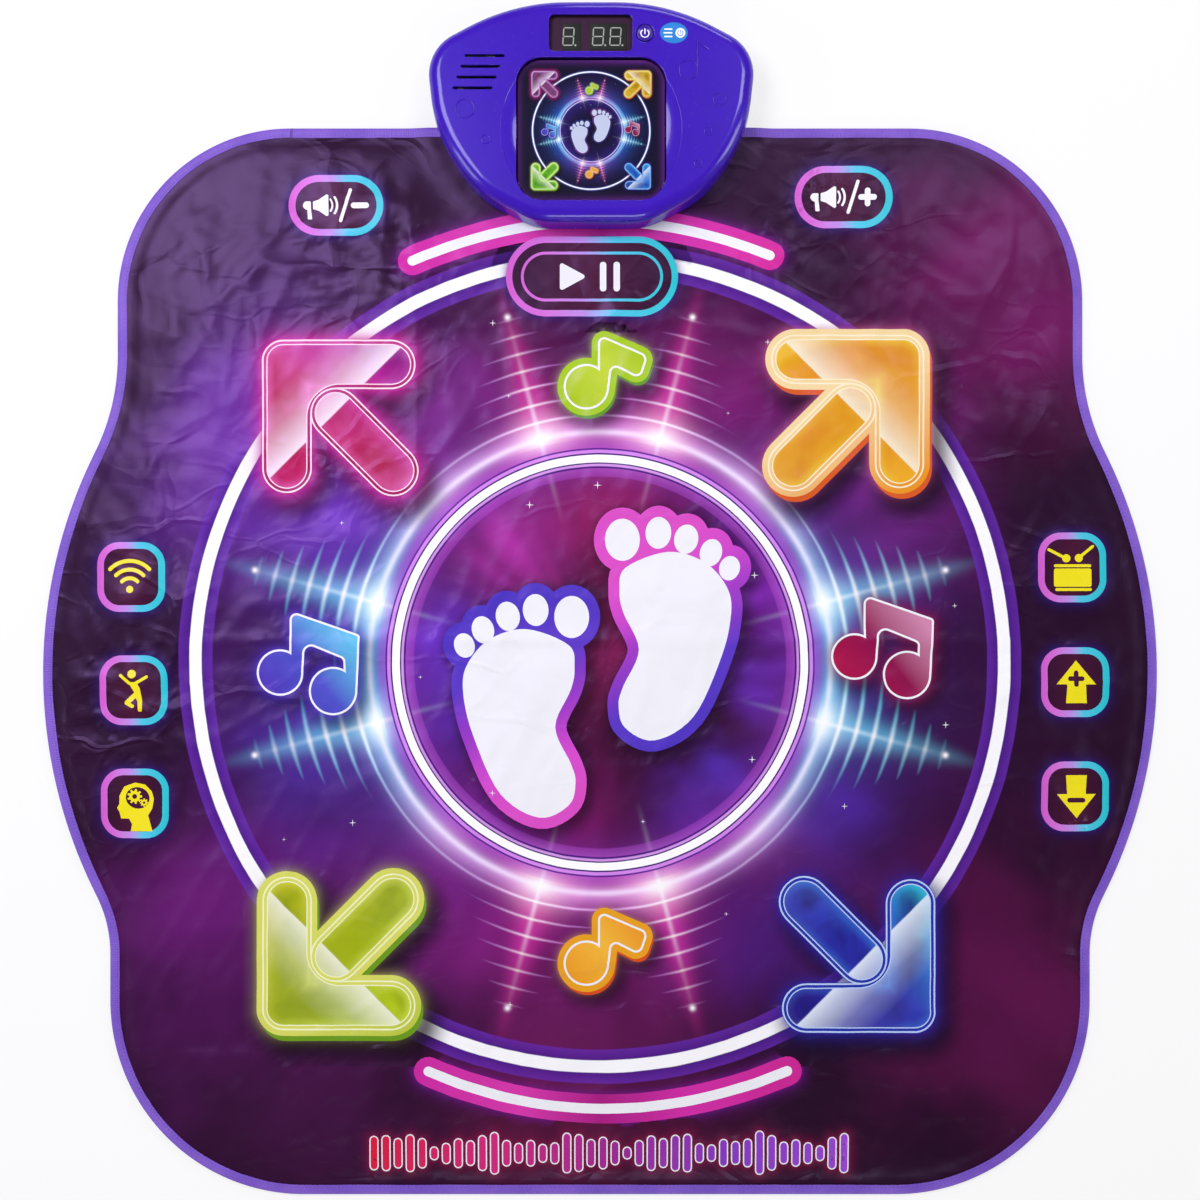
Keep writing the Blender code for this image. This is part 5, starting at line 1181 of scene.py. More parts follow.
def megaphone(sign):
    grip = [(-26.0, -2.2, 1.8), (-24.4, -3.4, 0.6), (-23.2, -3.6, 0.1), (-22.8, -11.4, 0.8),
            (-19.2, -11.4, 0.8),
            (-20.3, -3.0, 0.5), (-20.3, 3.2, 0.8), (-25.2, 3.2, 2.4), (-27.2, 0.0, 2.2)]
    horn = [(-18.6, -3.0, 0.6), (-14.0, -4.4, 6), (-7.4, -8.8, 0.9), (-6.0, -8.0, 0.6), (-6.0, 8.0, 0.6),
            (-7.4, 8.9, 0.9), (-14.0, 4.4, 6), (-18.6, 3.0, 0.6)]
    loops = [roundedLoop(grip), roundedLoop(horn), arcLoop((-10.5, 0), 7.6, 0.8, -36, 36, 12),
             arcLoop((-10.5, 0), 11.4, 0.95, -34, 34, 14), barLoop((3.7, -12.3), (11.5, 12.6), 1.35),
             barLoop((14.2, 0), (24.4, 0), 2.3)]
    if sign == "+":
        loops[-1] = crossLoop((19.3, 0), 7.5, 2.3)
    return loops


def playAndPause():
    triangle = [(-26, -12, 1.8), (-4, 0, 1.8), (-26, 12, 1.8)]
    return [roundedLoop(triangle), barLoop((9, -9.5), (9, 9.5), 2.6), barLoop((20, -9.5), (20, 9.5), 2.6)]


def wirelessWaves():
    return [ovalLoop((-1, -10), 2.9, 2.9)] + [arcLoop((-1, -10), r, 1.6, 45, 135, 20) for r in (9, 16, 23)]


def dancer():
    leg = [(0.6, -1.5, 1), (1.0, -5.0, 1), (3.2, -8.5, 1), (4.0, -17.2, 1.2), (7.0, -17.2, 1.2),
           (7.0, -8.0, 2),
           (5.2, 1.5, 2), (2.4, 6.6, 1), (-4.4, 6.6, 1)]
    return [ovalLoop((-1.2, 13.1), 3.3, 3.5), roundedLoop(leg), barLoop((-10.3, 11.9), (-3.4, 5.8), 1.3),
            barLoop((10.5, 10.8), (1.6, 5.6), 1.25), barLoop((1.8, -3.5), (-5.0, -10.0), 2.0),
            barLoop((-5.0, -10.4), (-0.8, -12.8), 1.5)]


def headProfile():
    crown = [(-12.2, 6.4), (-8.4, 13.6), (0.2, 16.8), (8.4, 15.2), (13.6, 9.8), (15.4, 3.6), (14.2, -4.0),
             (10.8, -9.8)]
    neck = [(14.4, -22.6), (-3.4, -22.6), (-2.2, -16.8), (-4.6, -12.4), (-11.2, -12.2), (-12.4, -7.0),
            (-14.4, -3.6), (-12.4, -0.4)]
    return crown + neck


def drum():
    body = [(-14.8, -15.6, 1.6), (15.4, -15.6, 1.6), (15.4, -0.8, 1.6), (-14.8, -0.8, 1.6)]
    return [barLoop((-19.0, 14.4), (-6.5, 8.0), 1.2), ovalLoop((-4.9, 7.4), 3.3, 3.3),
            barLoop((16.6, 17.0), (6.8, 9.0), 1.2), ovalLoop((5.2, 7.6), 3.3, 3.3),
            barLoop((-13.6, 1.4), (14.0, 1.4), 1.2), roundedLoop(body),
            barLoop((-12.6, -17.8), (14.4, -17.8), 1.2)]


def blockArrow(way):
    shape = [(0.8, 17.6), (-15.0, -1.8), (-6.4, -1.8), (-7.4, -17.0), (9.6, -17.0), (8.6, -1.8), (16.8, -1.8)]
    return [(x, y * way) for x, y in shape]


frames = {  # centre x and y, width, height, corner, stroke, drawings as index and loops
    "start_mark": dict(at=(-6.5, 312.2), size=(139.2, 64.7), corner=32.3, stroke=5.1, ring=12.1,
        drawing=[(2, playAndPause())]),
    "volume_down_mark": dict(at=(-213.3, 369.5), size=(76.9, 49.4), corner=24.6, stroke=5.6,
        drawing=[(2, megaphone("-"))]),
    "volume_up_mark": dict(at=(196.9, 376.3), size=(79.2, 50.6), corner=25.2, stroke=5.6,
        drawing=[(2, megaphone("+"))]),
    "wireless_mark": dict(at=(-378.8, 69.2), drawing=[(3, wirelessWaves())]),
    "dance_mark": dict(at=(-376.8, -22.3), drawing=[(3, dancer())]),
    "puzzle_mark": dict(at=(-375.9, -113.7), drawing=[(3, [headProfile()]),
        (1, [ovalLoop((2.4, 4.4), 9.6, 8.6, -0.3)]), (3, [gearLoop((0.0, 5.6), 6.0, 4.4, 9)]),
        (1, [ovalLoop((0.0, 5.6), 1.9, 1.9)]), (3, [gearLoop((7.6, 0.6), 3.4, 2.4, 8)]),
        (1, [ovalLoop((7.6, 0.6), 1.0, 1.0)])]),
    "drum_mark": dict(at=(381.6, 76.9), drawing=[(3, drum())]),
    "harder_mark": dict(at=(384, -15.8), drawing=[(3, [blockArrow(1)]),
        (1, [crossLoop((0.9, 2.8), 6.6, 1.9)])]),
    "easier_mark": dict(at=(384, -108), drawing=[(3, [blockArrow(-1)]),
        (1, [barLoop((-4.6, -3.2), (6.4, -3.2), 1.9)])])}
squareFrame = dict(size=(55.2, 56.4), corner=18.5, stroke=5.4)
captionShape = dict(at=(7.3, -396.6), width=380, height=35, bars=40, half=2.75, outline=1.0)
arcShape = dict(radius=360.5, half=11.8, core=4.0, arcs={"arc_far": ((-2, -3.6), 67.3, 114.5),
    "arc_near": ((5.7, 0), -113.6, -66.2)})


def frameOutline(spec, inset=0.0):
    width, height = spec["size"]
    return boxLoop(spec["at"], width, height, spec["corner"], inset)


def paintMarks(place):
    white = place["white"]
    yellow = inkMaterial("yellow", place, "#f2e418", vary=0.03)
    for name, spec in frames.items():
        spec = squareFrame | spec
        x, y = spec["at"]
        half = spec["size"][0] / 2
        rim = inkMaterial(name + " rim", place, [(0.0, "#cc5cc4"), (0.22, "#d070d0"), (0.45, "#b98ee0"),
                          (0.62, "#4fc4e0"), (1.0, "#22c0c8")], (x - half, y), (x + half, y))
        dark = inkMaterial(name + " ground", place, [(0.0, "#2a0d28"), (0.5, "#46122e"), (1.0, "#270b26")],
                           (x - half, y), (x + half, y))
        layers = [(0, [frameOutline(spec)]), (1, [frameOutline(spec, spec["stroke"])])]
        if "ring" in spec:
            layers += [(0, [frameOutline(spec, spec["ring"])]), (1, [frameOutline(spec, spec["ring"] + 2.3)])]
        for index, loops in spec["drawing"]:
            layers.append((index, [moved(loop, (x, y)) for loop in loops]))
        figure(name, layers, place, [rim, dark, white, yellow], 0.03)


def paintArcs(place):
    rose = inkMaterial("rose", place,
                       [(0.0, "#c8289c"), (0.3, "#d63aa8"), (0.5, "#a81f80"), (0.72, "#d030a4"),
                       (1.0, "#cc2890")], (-160, 0), (160, 0))
    for name, (middle, start, end) in arcShape["arcs"].items():
        ground = arcLoop(middle, arcShape["radius"], arcShape["half"], start, end, 90)
        core = arcLoop(middle, arcShape["radius"], arcShape["core"], start, end, 90)
        figure(name, [(1, [ground]), (0, [core])], place, [place["white"], rose], 0.015)


def captionLoops(grow=0.0):
    s = captionShape
    x, y = s["at"]
    loops = []
    for k in range(s["bars"]):
        along = x + (k / (s["bars"] - 1) - 0.5) * s["width"]
        wave = 0.5 + 0.28 * sin(k * 0.83) + 0.22 * sin(k * 1.97 + 1.0)
        tall = s["height"] * (0.25 + 0.75 * wave) / 2 - s["half"]
        loops.append(barLoop((along, y - tall), (along, y + tall), s["half"] + grow, 6))
    return loops


def paintCaption(place):  # plain level bars where the words are
    x = captionShape["at"][0]
    half = captionShape["width"] / 2
    shade = inkMaterial("caption", place,
                        [(0.0, "#d81e3c"), (0.25, "#d02a78"), (0.5, "#a02a90"), (0.75, "#8a3ac0"),
                        (1.0, "#9a48cc")], (x - half, 0), (x + half, 0))
    layers = [(1, captionLoops(captionShape["outline"])), (0, captionLoops())]
    figure("caption_bars", layers, place, [shade, place["white"]], 0.02)


def sparkles(place):  # small glints on and inside the rings of light
    rng = random.Random(5)
    groups = []
    for ring, count in ((140, 7), (232, 9), (288, 8)):
        for k in range(count):
            turn = 2 * pi * (k + 0.5 + rng.uniform(-0.3, 0.3)) / count
            radius = ring + rng.uniform(-7, 7)
            size = rng.uniform(1.6, 3.6)
            x, y = radius * cos(turn), radius * sin(turn)
            if any(hypot(x - a, y - b) < 62 for a, b in figureSpots()):
                continue
            reaches = [size if i % 4 == 0 else size * (0.16 if i % 2 == 0 else 0.26) for i in range(16)]
            star = [(x + r * cos(pi * i / 8), y + r * sin(pi * i / 8)) for i, r in enumerate(reaches)]
            groups.append([(0, [star])])
    return figure("sparkles", groups, place, [place["white"]], 0.02)


def figureSpots():
    spots = [(spec["corner"][0] + 62 * spec["way"][0], spec["corner"][1] + 62 * spec["way"][1])
             for spec in arrows.values()]
    return spots + [(spec["at"][0] + 18, spec["at"][1] + 12) for spec in notes.values()]


def paintPicture(place):
    place["white"] = inkMaterial("white", place, "#eff0f3" if place["cloth"] else "#ccd2ea", vary=0.012)
    for name, spec in place["arrows"].items():
        paintArrow(name, spec, place)
    for name, spec in notes.items():
        paintNote(name, spec, place)
    paintFeet(place)
    sparkles(place)


def glowItems(place):  # figures with their glow: loops, colour, strength, reach, shade, shadow's shift
    items = {name: (arrowLoops(spec, spec["grow"]), *spec["halo"], 0.9, (9, -12))
             for name, spec in place["arrows"].items()}
    for name, spec in notes.items():
        items[name] = (noteLoops(spec, spec["grow"]), *spec["halo"], 0.8, (5, -7))
    feet = [loop for side in (False, True) for loop in footLoops(side, footShape["border"])]
    items["feet"] = (feet, "#2a0a28", 0.3, 3.0, 0.75, (4.5, -4.5))
    if place["cloth"]:
        for name, spec in frames.items():
            items[name] = ([frameOutline(squareFrame | spec)], "#2c1a78", 0.6, 3.0, 0.3, (1.5, -2))
        items["caption"] = (captionLoops(1.0), "#8c1848", 0.6, 3.0, 0.5, (1, -1.5))
        for name, (middle, start, end) in arcShape["arcs"].items():
            loop = arcLoop(middle, arcShape["radius"], arcShape["half"], start, end, 60)
            items[name] = ([loop], "#7a1a90", 0.5, 3.5, 0.3, (1, -2))
    return items


def glowCover(points, item):
    loops, halo, strength, reach, shade, shift = item
    out = np.zeros((len(points), 4))
    spots = np.array([p for loop in loops for p in loop])
    close = ((points > spots.min(0) - 30) & (points < spots.max(0) + 30)).all(1)
    if not close.any():
        return out
    here = points[close]
    near = np.min([loopDistance(here, loop) for loop in loops], axis=0)
    below = np.min([loopDistance(here - np.array(shift), loop) for loop in loops], axis=0)
    glow = strength * np.exp(-np.maximum(near, 0) / reach)
    soft = 6 + 0.9 * hypot(*shift)
    dark = shade * (1 - smooth(-6, soft, below)) * (1 - glow * 0.5)
    cover = 1 - (1 - glow) * (1 - dark)
    share = (glow / np.maximum(cover, 1e-6))[:, None]
    colour = np.array(ink(halo)[:3]) * share + np.array(ink("#12050f")[:3]) * (1 - share)
    out[close] = np.column_stack([colour, np.where(cover < 0.012, 0, cover)])
    return out


def glowPatch(name, item, lift):
    place = matPlace
    spots = np.array([p for loop in item[0] for p in placed(loop, place)])
    low = np.floor((spots.min(0) - 24 - latticeStart) / cell).astype(int)
    high = np.ceil((spots.max(0) + 24 - latticeStart) / cell).astype(int)
    middle = np.array(latticeStart) + (low + high) / 2 * cell
    bm = gridMesh(2 * (high - low), (high - low) * cell, (*middle, 0))
    bmesh.ops.triangulate(bm, faces=bm.faces[:], quad_method="FIXED")
    points = np.array([v.co[:2] for v in bm.verts]) - place["centre"]
    cover = glowCover(points, item)[:, 3]
    inside = -loopDistance(points + place["centre"], outlineLoop) > 9
    bm.verts.index_update()
    bare = [f for f in bm.faces if max(cover[v.index] for v in f.verts) <= 0
            or not all(inside[v.index] for v in f.verts)]
    bmesh.ops.delete(bm, geom=bare, context="FACES")
    settle(bm, topHeights, lift)
    patch = newPiece("glow_" + name, bm, [matPicture], sharp=60)
    paintTints(patch, place, printAndSheenTint, lambda spots: glowCover(spots, item))
    return patch


print("picture")
paintPicture(matPlace)
paintArcs(matPlace)
paintMarks(matPlace)
paintCaption(matPlace)
for k, (name, item) in enumerate(glowItems(matPlace).items()):
    glowPatch(name, item, 0.03 + 0.01 * (k % 5))


# The console

panelShape = dict(v=72.9, width=118.8, height=113, corner=20.5, pictureV=72.4, bevel=0.45, dish=71.3,
    dishFloor=57, dishDepth=2.6, dishReach=42, windowTop=34.4, rounding=0.7, gap=0.35)
displayShape = dict(at=(-0.4, 148.6), size=(66, 29), corner=4.5, windowTop=35.0, digitHalf=(4.1, 6.9),
    bar=0.85, lean=0.07, pitch=13.7, modules=((-2.6, 1, "level_digit"), (-1.2, 2, "score_digits")))
buttonShape = dict(at=(42.5, 148.2), radius=6.5, gap=0.5, top=36.3)
slotShape = dict(at=(-89, 117.7), length=31.5, width=2.3, pitch=8.5, lean=3.2, count=4)
reliefShape = dict(rings=((-99.7, 88.6, 7.9), (-83.3, 64.4, 4), (101.5, 95.8, 5.5), (92.6, 70.7, 3.6),
    (84.7, 45.2, 3.6)), note=(77, 123.4), line=1.1, height=0.6)
labelShape = dict(at=(65.3, 148.3), size=(11.0, 8.2), disc=(5.2, 3.9))


def level(loop, z):
    return [(x, y, z) for x, y in loop]


def carve(bm, cutters):  # takes the cutters out of the body
    mesh = bpy.data.meshes.new("solid")
    bm.to_mesh(mesh)
    solid = bpy.data.objects.new("solid", mesh)
    bpy.context.scene.collection.objects.link(solid)
    helpers = [solid]
    for cutter in cutters:
        shape = bpy.data.meshes.new("cutter")
        cutter.to_mesh(shape)
        cutter.free()
        holder = bpy.data.objects.new("cutter", shape)
        bpy.context.scene.collection.objects.link(holder)
        helpers.append(holder)
        step = solid.modifiers.new("cut", "BOOLEAN")
        step.operation = "DIFFERENCE"
        step.solver = "EXACT"
        step.object = holder
    graph = bpy.context.evaluated_depsgraph_get()
    result = bpy.data.meshes.new_from_object(solid.evaluated_get(graph))
    bm.clear()
    bm.from_mesh(result)
    for helper in helpers:
        shape = helper.data
        bpy.data.objects.remove(helper)
        bpy.data.meshes.remove(shape)
    bpy.data.meshes.remove(result)


def openingCutter(loopAt, rounding, steps=5):  # an opening whose upper edge is rounded over
    low, top = consoleShape["cutLow"], consoleShape["top"]
    rings = [level(loopAt(0), low)]
    for i in range(steps + 1):
        turn = radians(84) * i / steps
        rings.append(level(loopAt(-rounding * (1 - cos(turn))), top - rounding + rounding * sin(turn)))
    rings.append(level(loopAt(-rounding * 1.05), top + 1.5))
    return skin(rings)


def slab(loopAt, low, top, rounding=0.3, steps=4):  # a plate with a rounded upper edge
    rings = [level(loopAt(0), low)]
    for i in range(steps + 1):
        turn = pi / 2 * i / steps
        rings.append(level(loopAt(rounding * (1 - cos(turn))), top - rounding + rounding * sin(turn)))
    return skin(rings)


roundSteps = 48


def spun(bm):  # turned once about the upright axis
    bmesh.ops.spin(bm, geom=everything(bm), cent=(0, 0, 0), axis=up, angle=2 * pi, steps=roundSteps,
                   use_merge=True)


def ringMesh(centre, radius, thick, z, flat=1.0):  # a round ring of round section
    bm = bmesh.new()
    bmesh.ops.create_circle(bm, segments=10, radius=thick / 2)
    bmesh.ops.scale(bm, verts=bm.verts, vec=(1, flat, 1))
    bmesh.ops.rotate(bm, verts=bm.verts, cent=(0, 0, 0), matrix=Matrix.Rotation(pi / 2, 3, "X"))
    bmesh.ops.translate(bm, verts=bm.verts, vec=(radius, 0, 0))
    spun(bm)
    bmesh.ops.translate(bm, verts=bm.verts, vec=(*centre, z))
    bmesh.ops.recalc_face_normals(bm, faces=bm.faces[:])
    return bm


def lathed(centre, profile):
    bm = bmesh.new()
    verts = [bm.verts.new((r, 0, z)) for r, z in profile]
    for a, b in zip(verts, verts[1:]):
        bm.edges.new((a, b))
    spun(bm)
    bmesh.ops.remove_doubles(bm, verts=bm.verts, dist=0.0001)
    bmesh.ops.translate(bm, verts=bm.verts, vec=(*centre, 0))
    bmesh.ops.recalc_face_normals(bm, faces=bm.faces[:])
    return bm


def addMesh(bm, other):
    mesh = bpy.data.meshes.new("part")
    other.to_mesh(mesh)
    other.free()
    bm.from_mesh(mesh)
    bpy.data.meshes.remove(mesh)


def flatNormals(piece):  # broad faces stay even beside their rounded edges
    weighted = piece.modifiers.new("even normals", "WEIGHTED_NORMAL")
    weighted.keep_sharp = True


def shellPlastic(name, colour, dark, roughness=0.24):
    material, tree, shader = newMaterial(name, colour, roughness, Coat_Weight=0.35, Coat_Roughness=0.06,
                                         Specular_IOR_Level=0.2)
    unevenColour(tree, shader, 40, 4, dark, colour)
    unevenRoughness(tree, shader, 260, 4, roughness - 0.06, roughness + 0.08)
    grain = noiseBump(tree, 900, 2, 0.00003, 0.5)
    tree.links.new(noiseBump(tree, 60, 2, 0.0002, 0.25, grain), shader.inputs["Normal"])
    return material


violetShell = shellPlastic("violet shell", "#3e18b6", "#3814a8")
violetBase = shellPlastic("violet base", "#4520b0", "#3f1ba4", 0.36)
violetButton = shellPlastic("violet button", "#3a1a96", "#34158a", 0.3)


clearLook = dict(gloss=0.06, glossHigh=2.2, shine=0.6, index=1.45)


def clearMaterial(name, tint):  # a window that shows what lies behind it
    gloss = clearLook["gloss"]
    material, tree, shader = newMaterial(name, "#050508", gloss)
    see = tree.nodes.new("ShaderNodeBsdfTransparent")
    see.inputs[0].default_value = ink(tint)
    edge = tree.nodes.new("ShaderNodeFresnel")
    edge.inputs["IOR"].default_value = clearLook["index"]
    unevenRoughness(tree, shader, 90, 4, gloss, gloss * clearLook["glossHigh"])
    mix = tree.nodes.new("ShaderNodeMixShader")
    share = times(tree, edge.outputs[0], clearLook["shine"])
    tree.links.new(share, mix.inputs[0])
    tree.links.new(see.outputs[0], mix.inputs[1])
    tree.links.new(shader.outputs[0], mix.inputs[2])
    tree.links.new(mix.outputs[0], tree.nodes["Material Output"].inputs[0])
    return material


print("console shell")
s = consoleShape
outer = [(0.25, s["parting"]), (0.0, s["parting"] + 0.25)]
for i in range(s["edgeSteps"] + 1):
    turn = pi / 2 * i / s["edgeSteps"]
    outer.append((s["draft"] * (1 - cos(turn) * 0.3) + s["edgeRound"] * (1 - cos(turn)),
                  s["top"] - s["edgeRound"] * (1 - sin(turn))))
wallRound = s["edgeRound"] - s["wall"]
inner = [(s["wall"], s["parting"] + s["innerStep"])]
for i in range(s["innerSteps"] + 1):
    turn = pi / 2 * i / s["innerSteps"]
    inner.append((s["wall"] + s["draft"] + wallRound * (1 - cos(turn)),
                  s["top"] - s["roof"] - wallRound * (1 - sin(turn))))
bm = skin([level(consoleLoop(inset, 0.05), z) for inset, z in inner[::-1] + outer])

p = panelShape
panelCentre = consolePoint(0, p["v"])
dishRings = []
for k in range(13):  # the wall grows steeper towards the window
    share = 1 - k / 12
    drop = p["bevel"] + (p["dishDepth"] - p["bevel"]) * (0.1 * share + 0.9 * share ** 3)
    dishRings.append((p["dish"] - (p["dish"] - p["dishFloor"]) * share, s["top"] - drop))
dishRings += [(p["dish"] + out, s["top"] + rise) for out, rise in ((0.3, -0.15), (0.7, 0.02), (1.2, 1))]
dishCentre = consolePoint(0, p["pictureV"])
dish = skin([level(ovalLoop(dishCentre, r, r, 0, 96), z) for r, z in dishRings])
for side in (-1, 1):
    bmesh.ops.bisect_plane(dish, geom=everything(dish),
                           plane_co=(0, dishCentre[1] + side * p["dishReach"], 0),
                           plane_no=(0, side, 0), clear_outer=True)
    bmesh.ops.holes_fill(dish, edges=[e for e in dish.edges if e.is_boundary])
d = displayShape
displayCentre = consolePoint(*d["at"])
buttonCentre = consolePoint(*buttonShape["at"])
keyHole = buttonShape["radius"] + buttonShape["gap"]


def panelLoop(inset):
    return boxLoop(panelCentre, p["width"], p["height"], p["corner"], inset, 0.02)


def displayLoop(inset):
    return boxLoop(displayCentre, *d["size"], d["corner"], inset, 0.02)


def slotCutter(row):
    x, y = consolePoint(slotShape["at"][0] + row * slotShape["lean"],
                        slotShape["at"][1] + row * slotShape["pitch"])
    reach = (slotShape["length"] - slotShape["width"]) / 2
    return openingCutter(lambda k: barLoop((x - reach, y), (x + reach, y), slotShape["width"] / 2 - k, 8),
                         0.35, 3)


cutters = [dish, openingCutter(panelLoop, p["rounding"]), openingCutter(displayLoop, 0.5),
           openingCutter(lambda k: ovalLoop(buttonCentre, keyHole - k, keyHole - k, 0, 64), 0.9)]
cutters += [slotCutter((slotShape["count"] - 1) / 2 - i) for i in range(slotShape["count"])]
carve(bm, cutters)
shell = newPiece("console_shell", bm, [violetShell], replaces=["top_shell"], sharp=38)
flatNormals(shell)

r = reliefShape
bm = bmesh.new()
noteX, noteY = consolePoint(*r["note"])
circles = [(consolePoint(u, v), radius) for u, v, radius in r["rings"]] + [((noteX, noteY - 4), 8)]
for centre, radius in circles:
    addMesh(bm, ringMesh(centre, radius - r["line"] / 2, r["line"], s["top"], r["height"] / r["line"] * 2))
stemX = noteX + 7
ridges = (barLoop((stemX, noteY - 2.5), (stemX, noteY + 19), r["line"] / 2, 6),
    barLoop((stemX, noteY + 18.6), (stemX + 9.2, noteY + 11.8), r["line"] / 2 + 0.15, 6))
for k, ridge in enumerate(ridges):
    addMesh(bm, slab(lambda inset, ridge=ridge: ridge if inset < 0.01 else shrunk(ridge, inset),
                     s["top"] - 0.3, s["top"] + r["height"] - 0.05 * k, 0.3, 3))
newPiece("relief_marks", bm, [violetShell], sharp=50)

print("panel")
panelBase = "#0c0a20"


def panelTints(points):
    scale = panelPlace["scale"]
    half = (p["width"] / 2 / scale, p["height"] / 2 / scale)
    swirl = np.array([noise.fractal(Vector((x / 120, y / 120, 2.2)), 0.9, 2.0, 3) for x, y in points])
    radius = np.hypot(points[:, 0], points[:, 1])
    sideways = (points[:, 0] / np.maximum(radius, 1)) ** 2
    beyond = radius - 176
    outside = beyond > -3
    tints = Tints(points, panelBase)
    tints.lay("#2c1668", 0.6 * np.exp(-np.abs(beyond) / 70) * (1 + 0.6 * swirl))
    tints.lay("#1c78e8", 0.95 * np.exp(-np.abs(beyond - 6) / 34) * (0.35 + 0.65 * sideways) * outside)
    tints.lay("#9a44c8", 0.8 * np.exp(-np.abs(beyond - 6) / 30) * (1 - sideways) ** 2 * outside)
    tints.lay("#8cdcff", 0.55 * np.exp(-(beyond - 15) ** 2 / 60) * (0.45 + 0.55 * sideways))
    tints.lay("#3a2a8c", 0.6 * np.exp(beyond / 24) * (beyond < 0) * (1 + 0.5 * swirl))
    edge = np.minimum(half[0] - np.abs(points[:, 0]), half[1] - np.abs(points[:, 1]))
    corner = np.hypot(np.maximum(np.abs(points[:, 0]) - half[0] + 120, 0),
                      np.maximum(np.abs(points[:, 1]) - half[1] + 120, 0))
    edge = np.minimum(edge, 120 - corner)
    # painted reflection: a violet band along the window's edges, stronger towards the right, stands in for
    # the violet shell showing in the window's rounded edge
    rim = np.exp(-(np.maximum(edge, 0) / 24) ** 1.5)
    tints.lay("#6c2a8c", 0.95 * rim * (0.6 + 0.4 * smooth(-200, 300, points[:, 0])))
    return tints.rgb


def panelCovers(points):
    out = np.zeros((len(points), 4))
    for item in glowItems(panelPlace).values():
        cover = glowCover(points, item)
        alpha = cover[:, 3:]
        total = alpha + out[:, 3:] * (1 - alpha)
        out[:, :3] = (cover[:, :3] * alpha + out[:, :3] * out[:, 3:] * (1 - alpha)) / np.maximum(total, 1e-6)
        out[:, 3:] = total
    return out


panelPicture = pictureMaterial(panelPlace, filmFinishAndGlow)
bm = gridMesh((116, 110), (p["width"] - 2.4, p["height"] - 2.4), (*panelCentre, panelPlace["height"]))
centres = np.array([f.calc_center_median()[:2] for f in bm.faces])
outside = loopDistance(centres,
                       boxLoop(panelCentre, p["width"] - 1.6, p["height"] - 1.6, p["corner"] - 1)) > -0.2
bmesh.ops.delete(bm, geom=[f for f, out in zip(bm.faces[:], outside) if out], context="FACES")
sheetPiece = newPiece("panel_sheet", bm, [panelPicture], replaces=["panel_print"])
paintTints(sheetPiece, panelPlace, panelTints, panelCovers)
giveThickness(sheetPiece, 0.3)
paintPicture(panelPlace)

lensLow = nodeBox("panel_lens")[0].z
bm = slab(lambda k: panelLoop(p["gap"] + k), lensLow, p["windowTop"], 0.7, 6)
lens = newPiece("panel_window", bm, [clearMaterial("clear window", "#feffff")],
    replaces=["panel_lens"], sharp=50)
flatNormals(lens)

print("display")
windowLow = nodeBox("display_window")[0].z
bm = slab(lambda k: displayLoop(p["gap"] + k), windowLow, d["windowTop"], 0.4, 4)
window = newPiece("smoked_display_window", bm, [clearMaterial("smoked window", "#f2f4f0")],
    replaces=["display_window"], sharp=50)
flatNormals(window)
blackFace, tree, shader = newMaterial("display face", "#26292b", 0.55)
unevenRoughness(tree, shader, 300, 3, 0.45, 0.65)
segments, tree, shader = newMaterial("unlit segment", "#f4f2f6", 0.5)
unevenColour(tree, shader, 800, 2, "#e4e2ea", "#fbfafc")
mask, tree, shader = newMaterial("display mask", "#4a0c4a", 0.6)
unevenRoughness(tree, shader, 200, 3, 0.5, 0.7)


def segmentLoops(x, y):  # seven bars with pointed ends and a point
    halfX, halfY = d["digitHalf"]
    thick = d["bar"] / 2
    loops = []
    for ax, ay, flat in ((0, 1, True), (0, 0, True), (0, -1, True), (-1, 0.5, False), (1, 0.5, False),
                         (-1, -0.5, False), (1, -0.5, False)):
        half = (halfX if flat else halfY / 2) - 0.35
        loop = [(-half, 0), (-half + thick, -thick), (half - thick, -thick), (half, 0), (half - thick, thick),
                (-half + thick, thick)]
        loop = loop if flat else [(-b, a) for a, b in loop]
        loops.append([(ax * halfX + a, ay * halfY + b) for a, b in loop])
    loops.append(ovalLoop((halfX + 1.9, -halfY - 0.1), 0.75, 0.75, 0, 16))
    return [[(x + a + b * d["lean"], y + b) for a, b in loop] for loop in loops]


for offset, count, node in d["modules"]:
    low, high = nodeBox(node)
    middle = ((low.x + high.x) / 2, (low.y + high.y) / 2)
    size = (high.x - low.x, high.y - low.y)
    bm = slab(lambda k: boxLoop(middle, *size, 0.6, k), low.z, high.z - 0.12, 0.3, 3)
    for k in range(count):
        for loop in segmentLoops(middle[0] + (k - (count - 1) / 2) * d["pitch"] + offset, middle[1]):
            start = len(bm.faces)
            addMesh(bm, skin([level(loop, high.z - 0.3), level(loop, high.z)]))
            bm.faces.ensure_lookup_table()
            for face in bm.faces[start:]:
                face.material_index = 1
    newPiece(node + "_block", bm, [blackFace, segments], replaces=[node], sharp=30)
low, high = nodeBox("display_board")
maskTop = nodeBox("score_digits")[1].z - 0.6
bm = slab(lambda k: boxLoop(displayCentre, d["size"][0] + 3, d["size"][1] + 3, 2, k), high.z + 0.2, maskTop,
          0.2, 2)
newPiece("display_mask", bm, [mask])

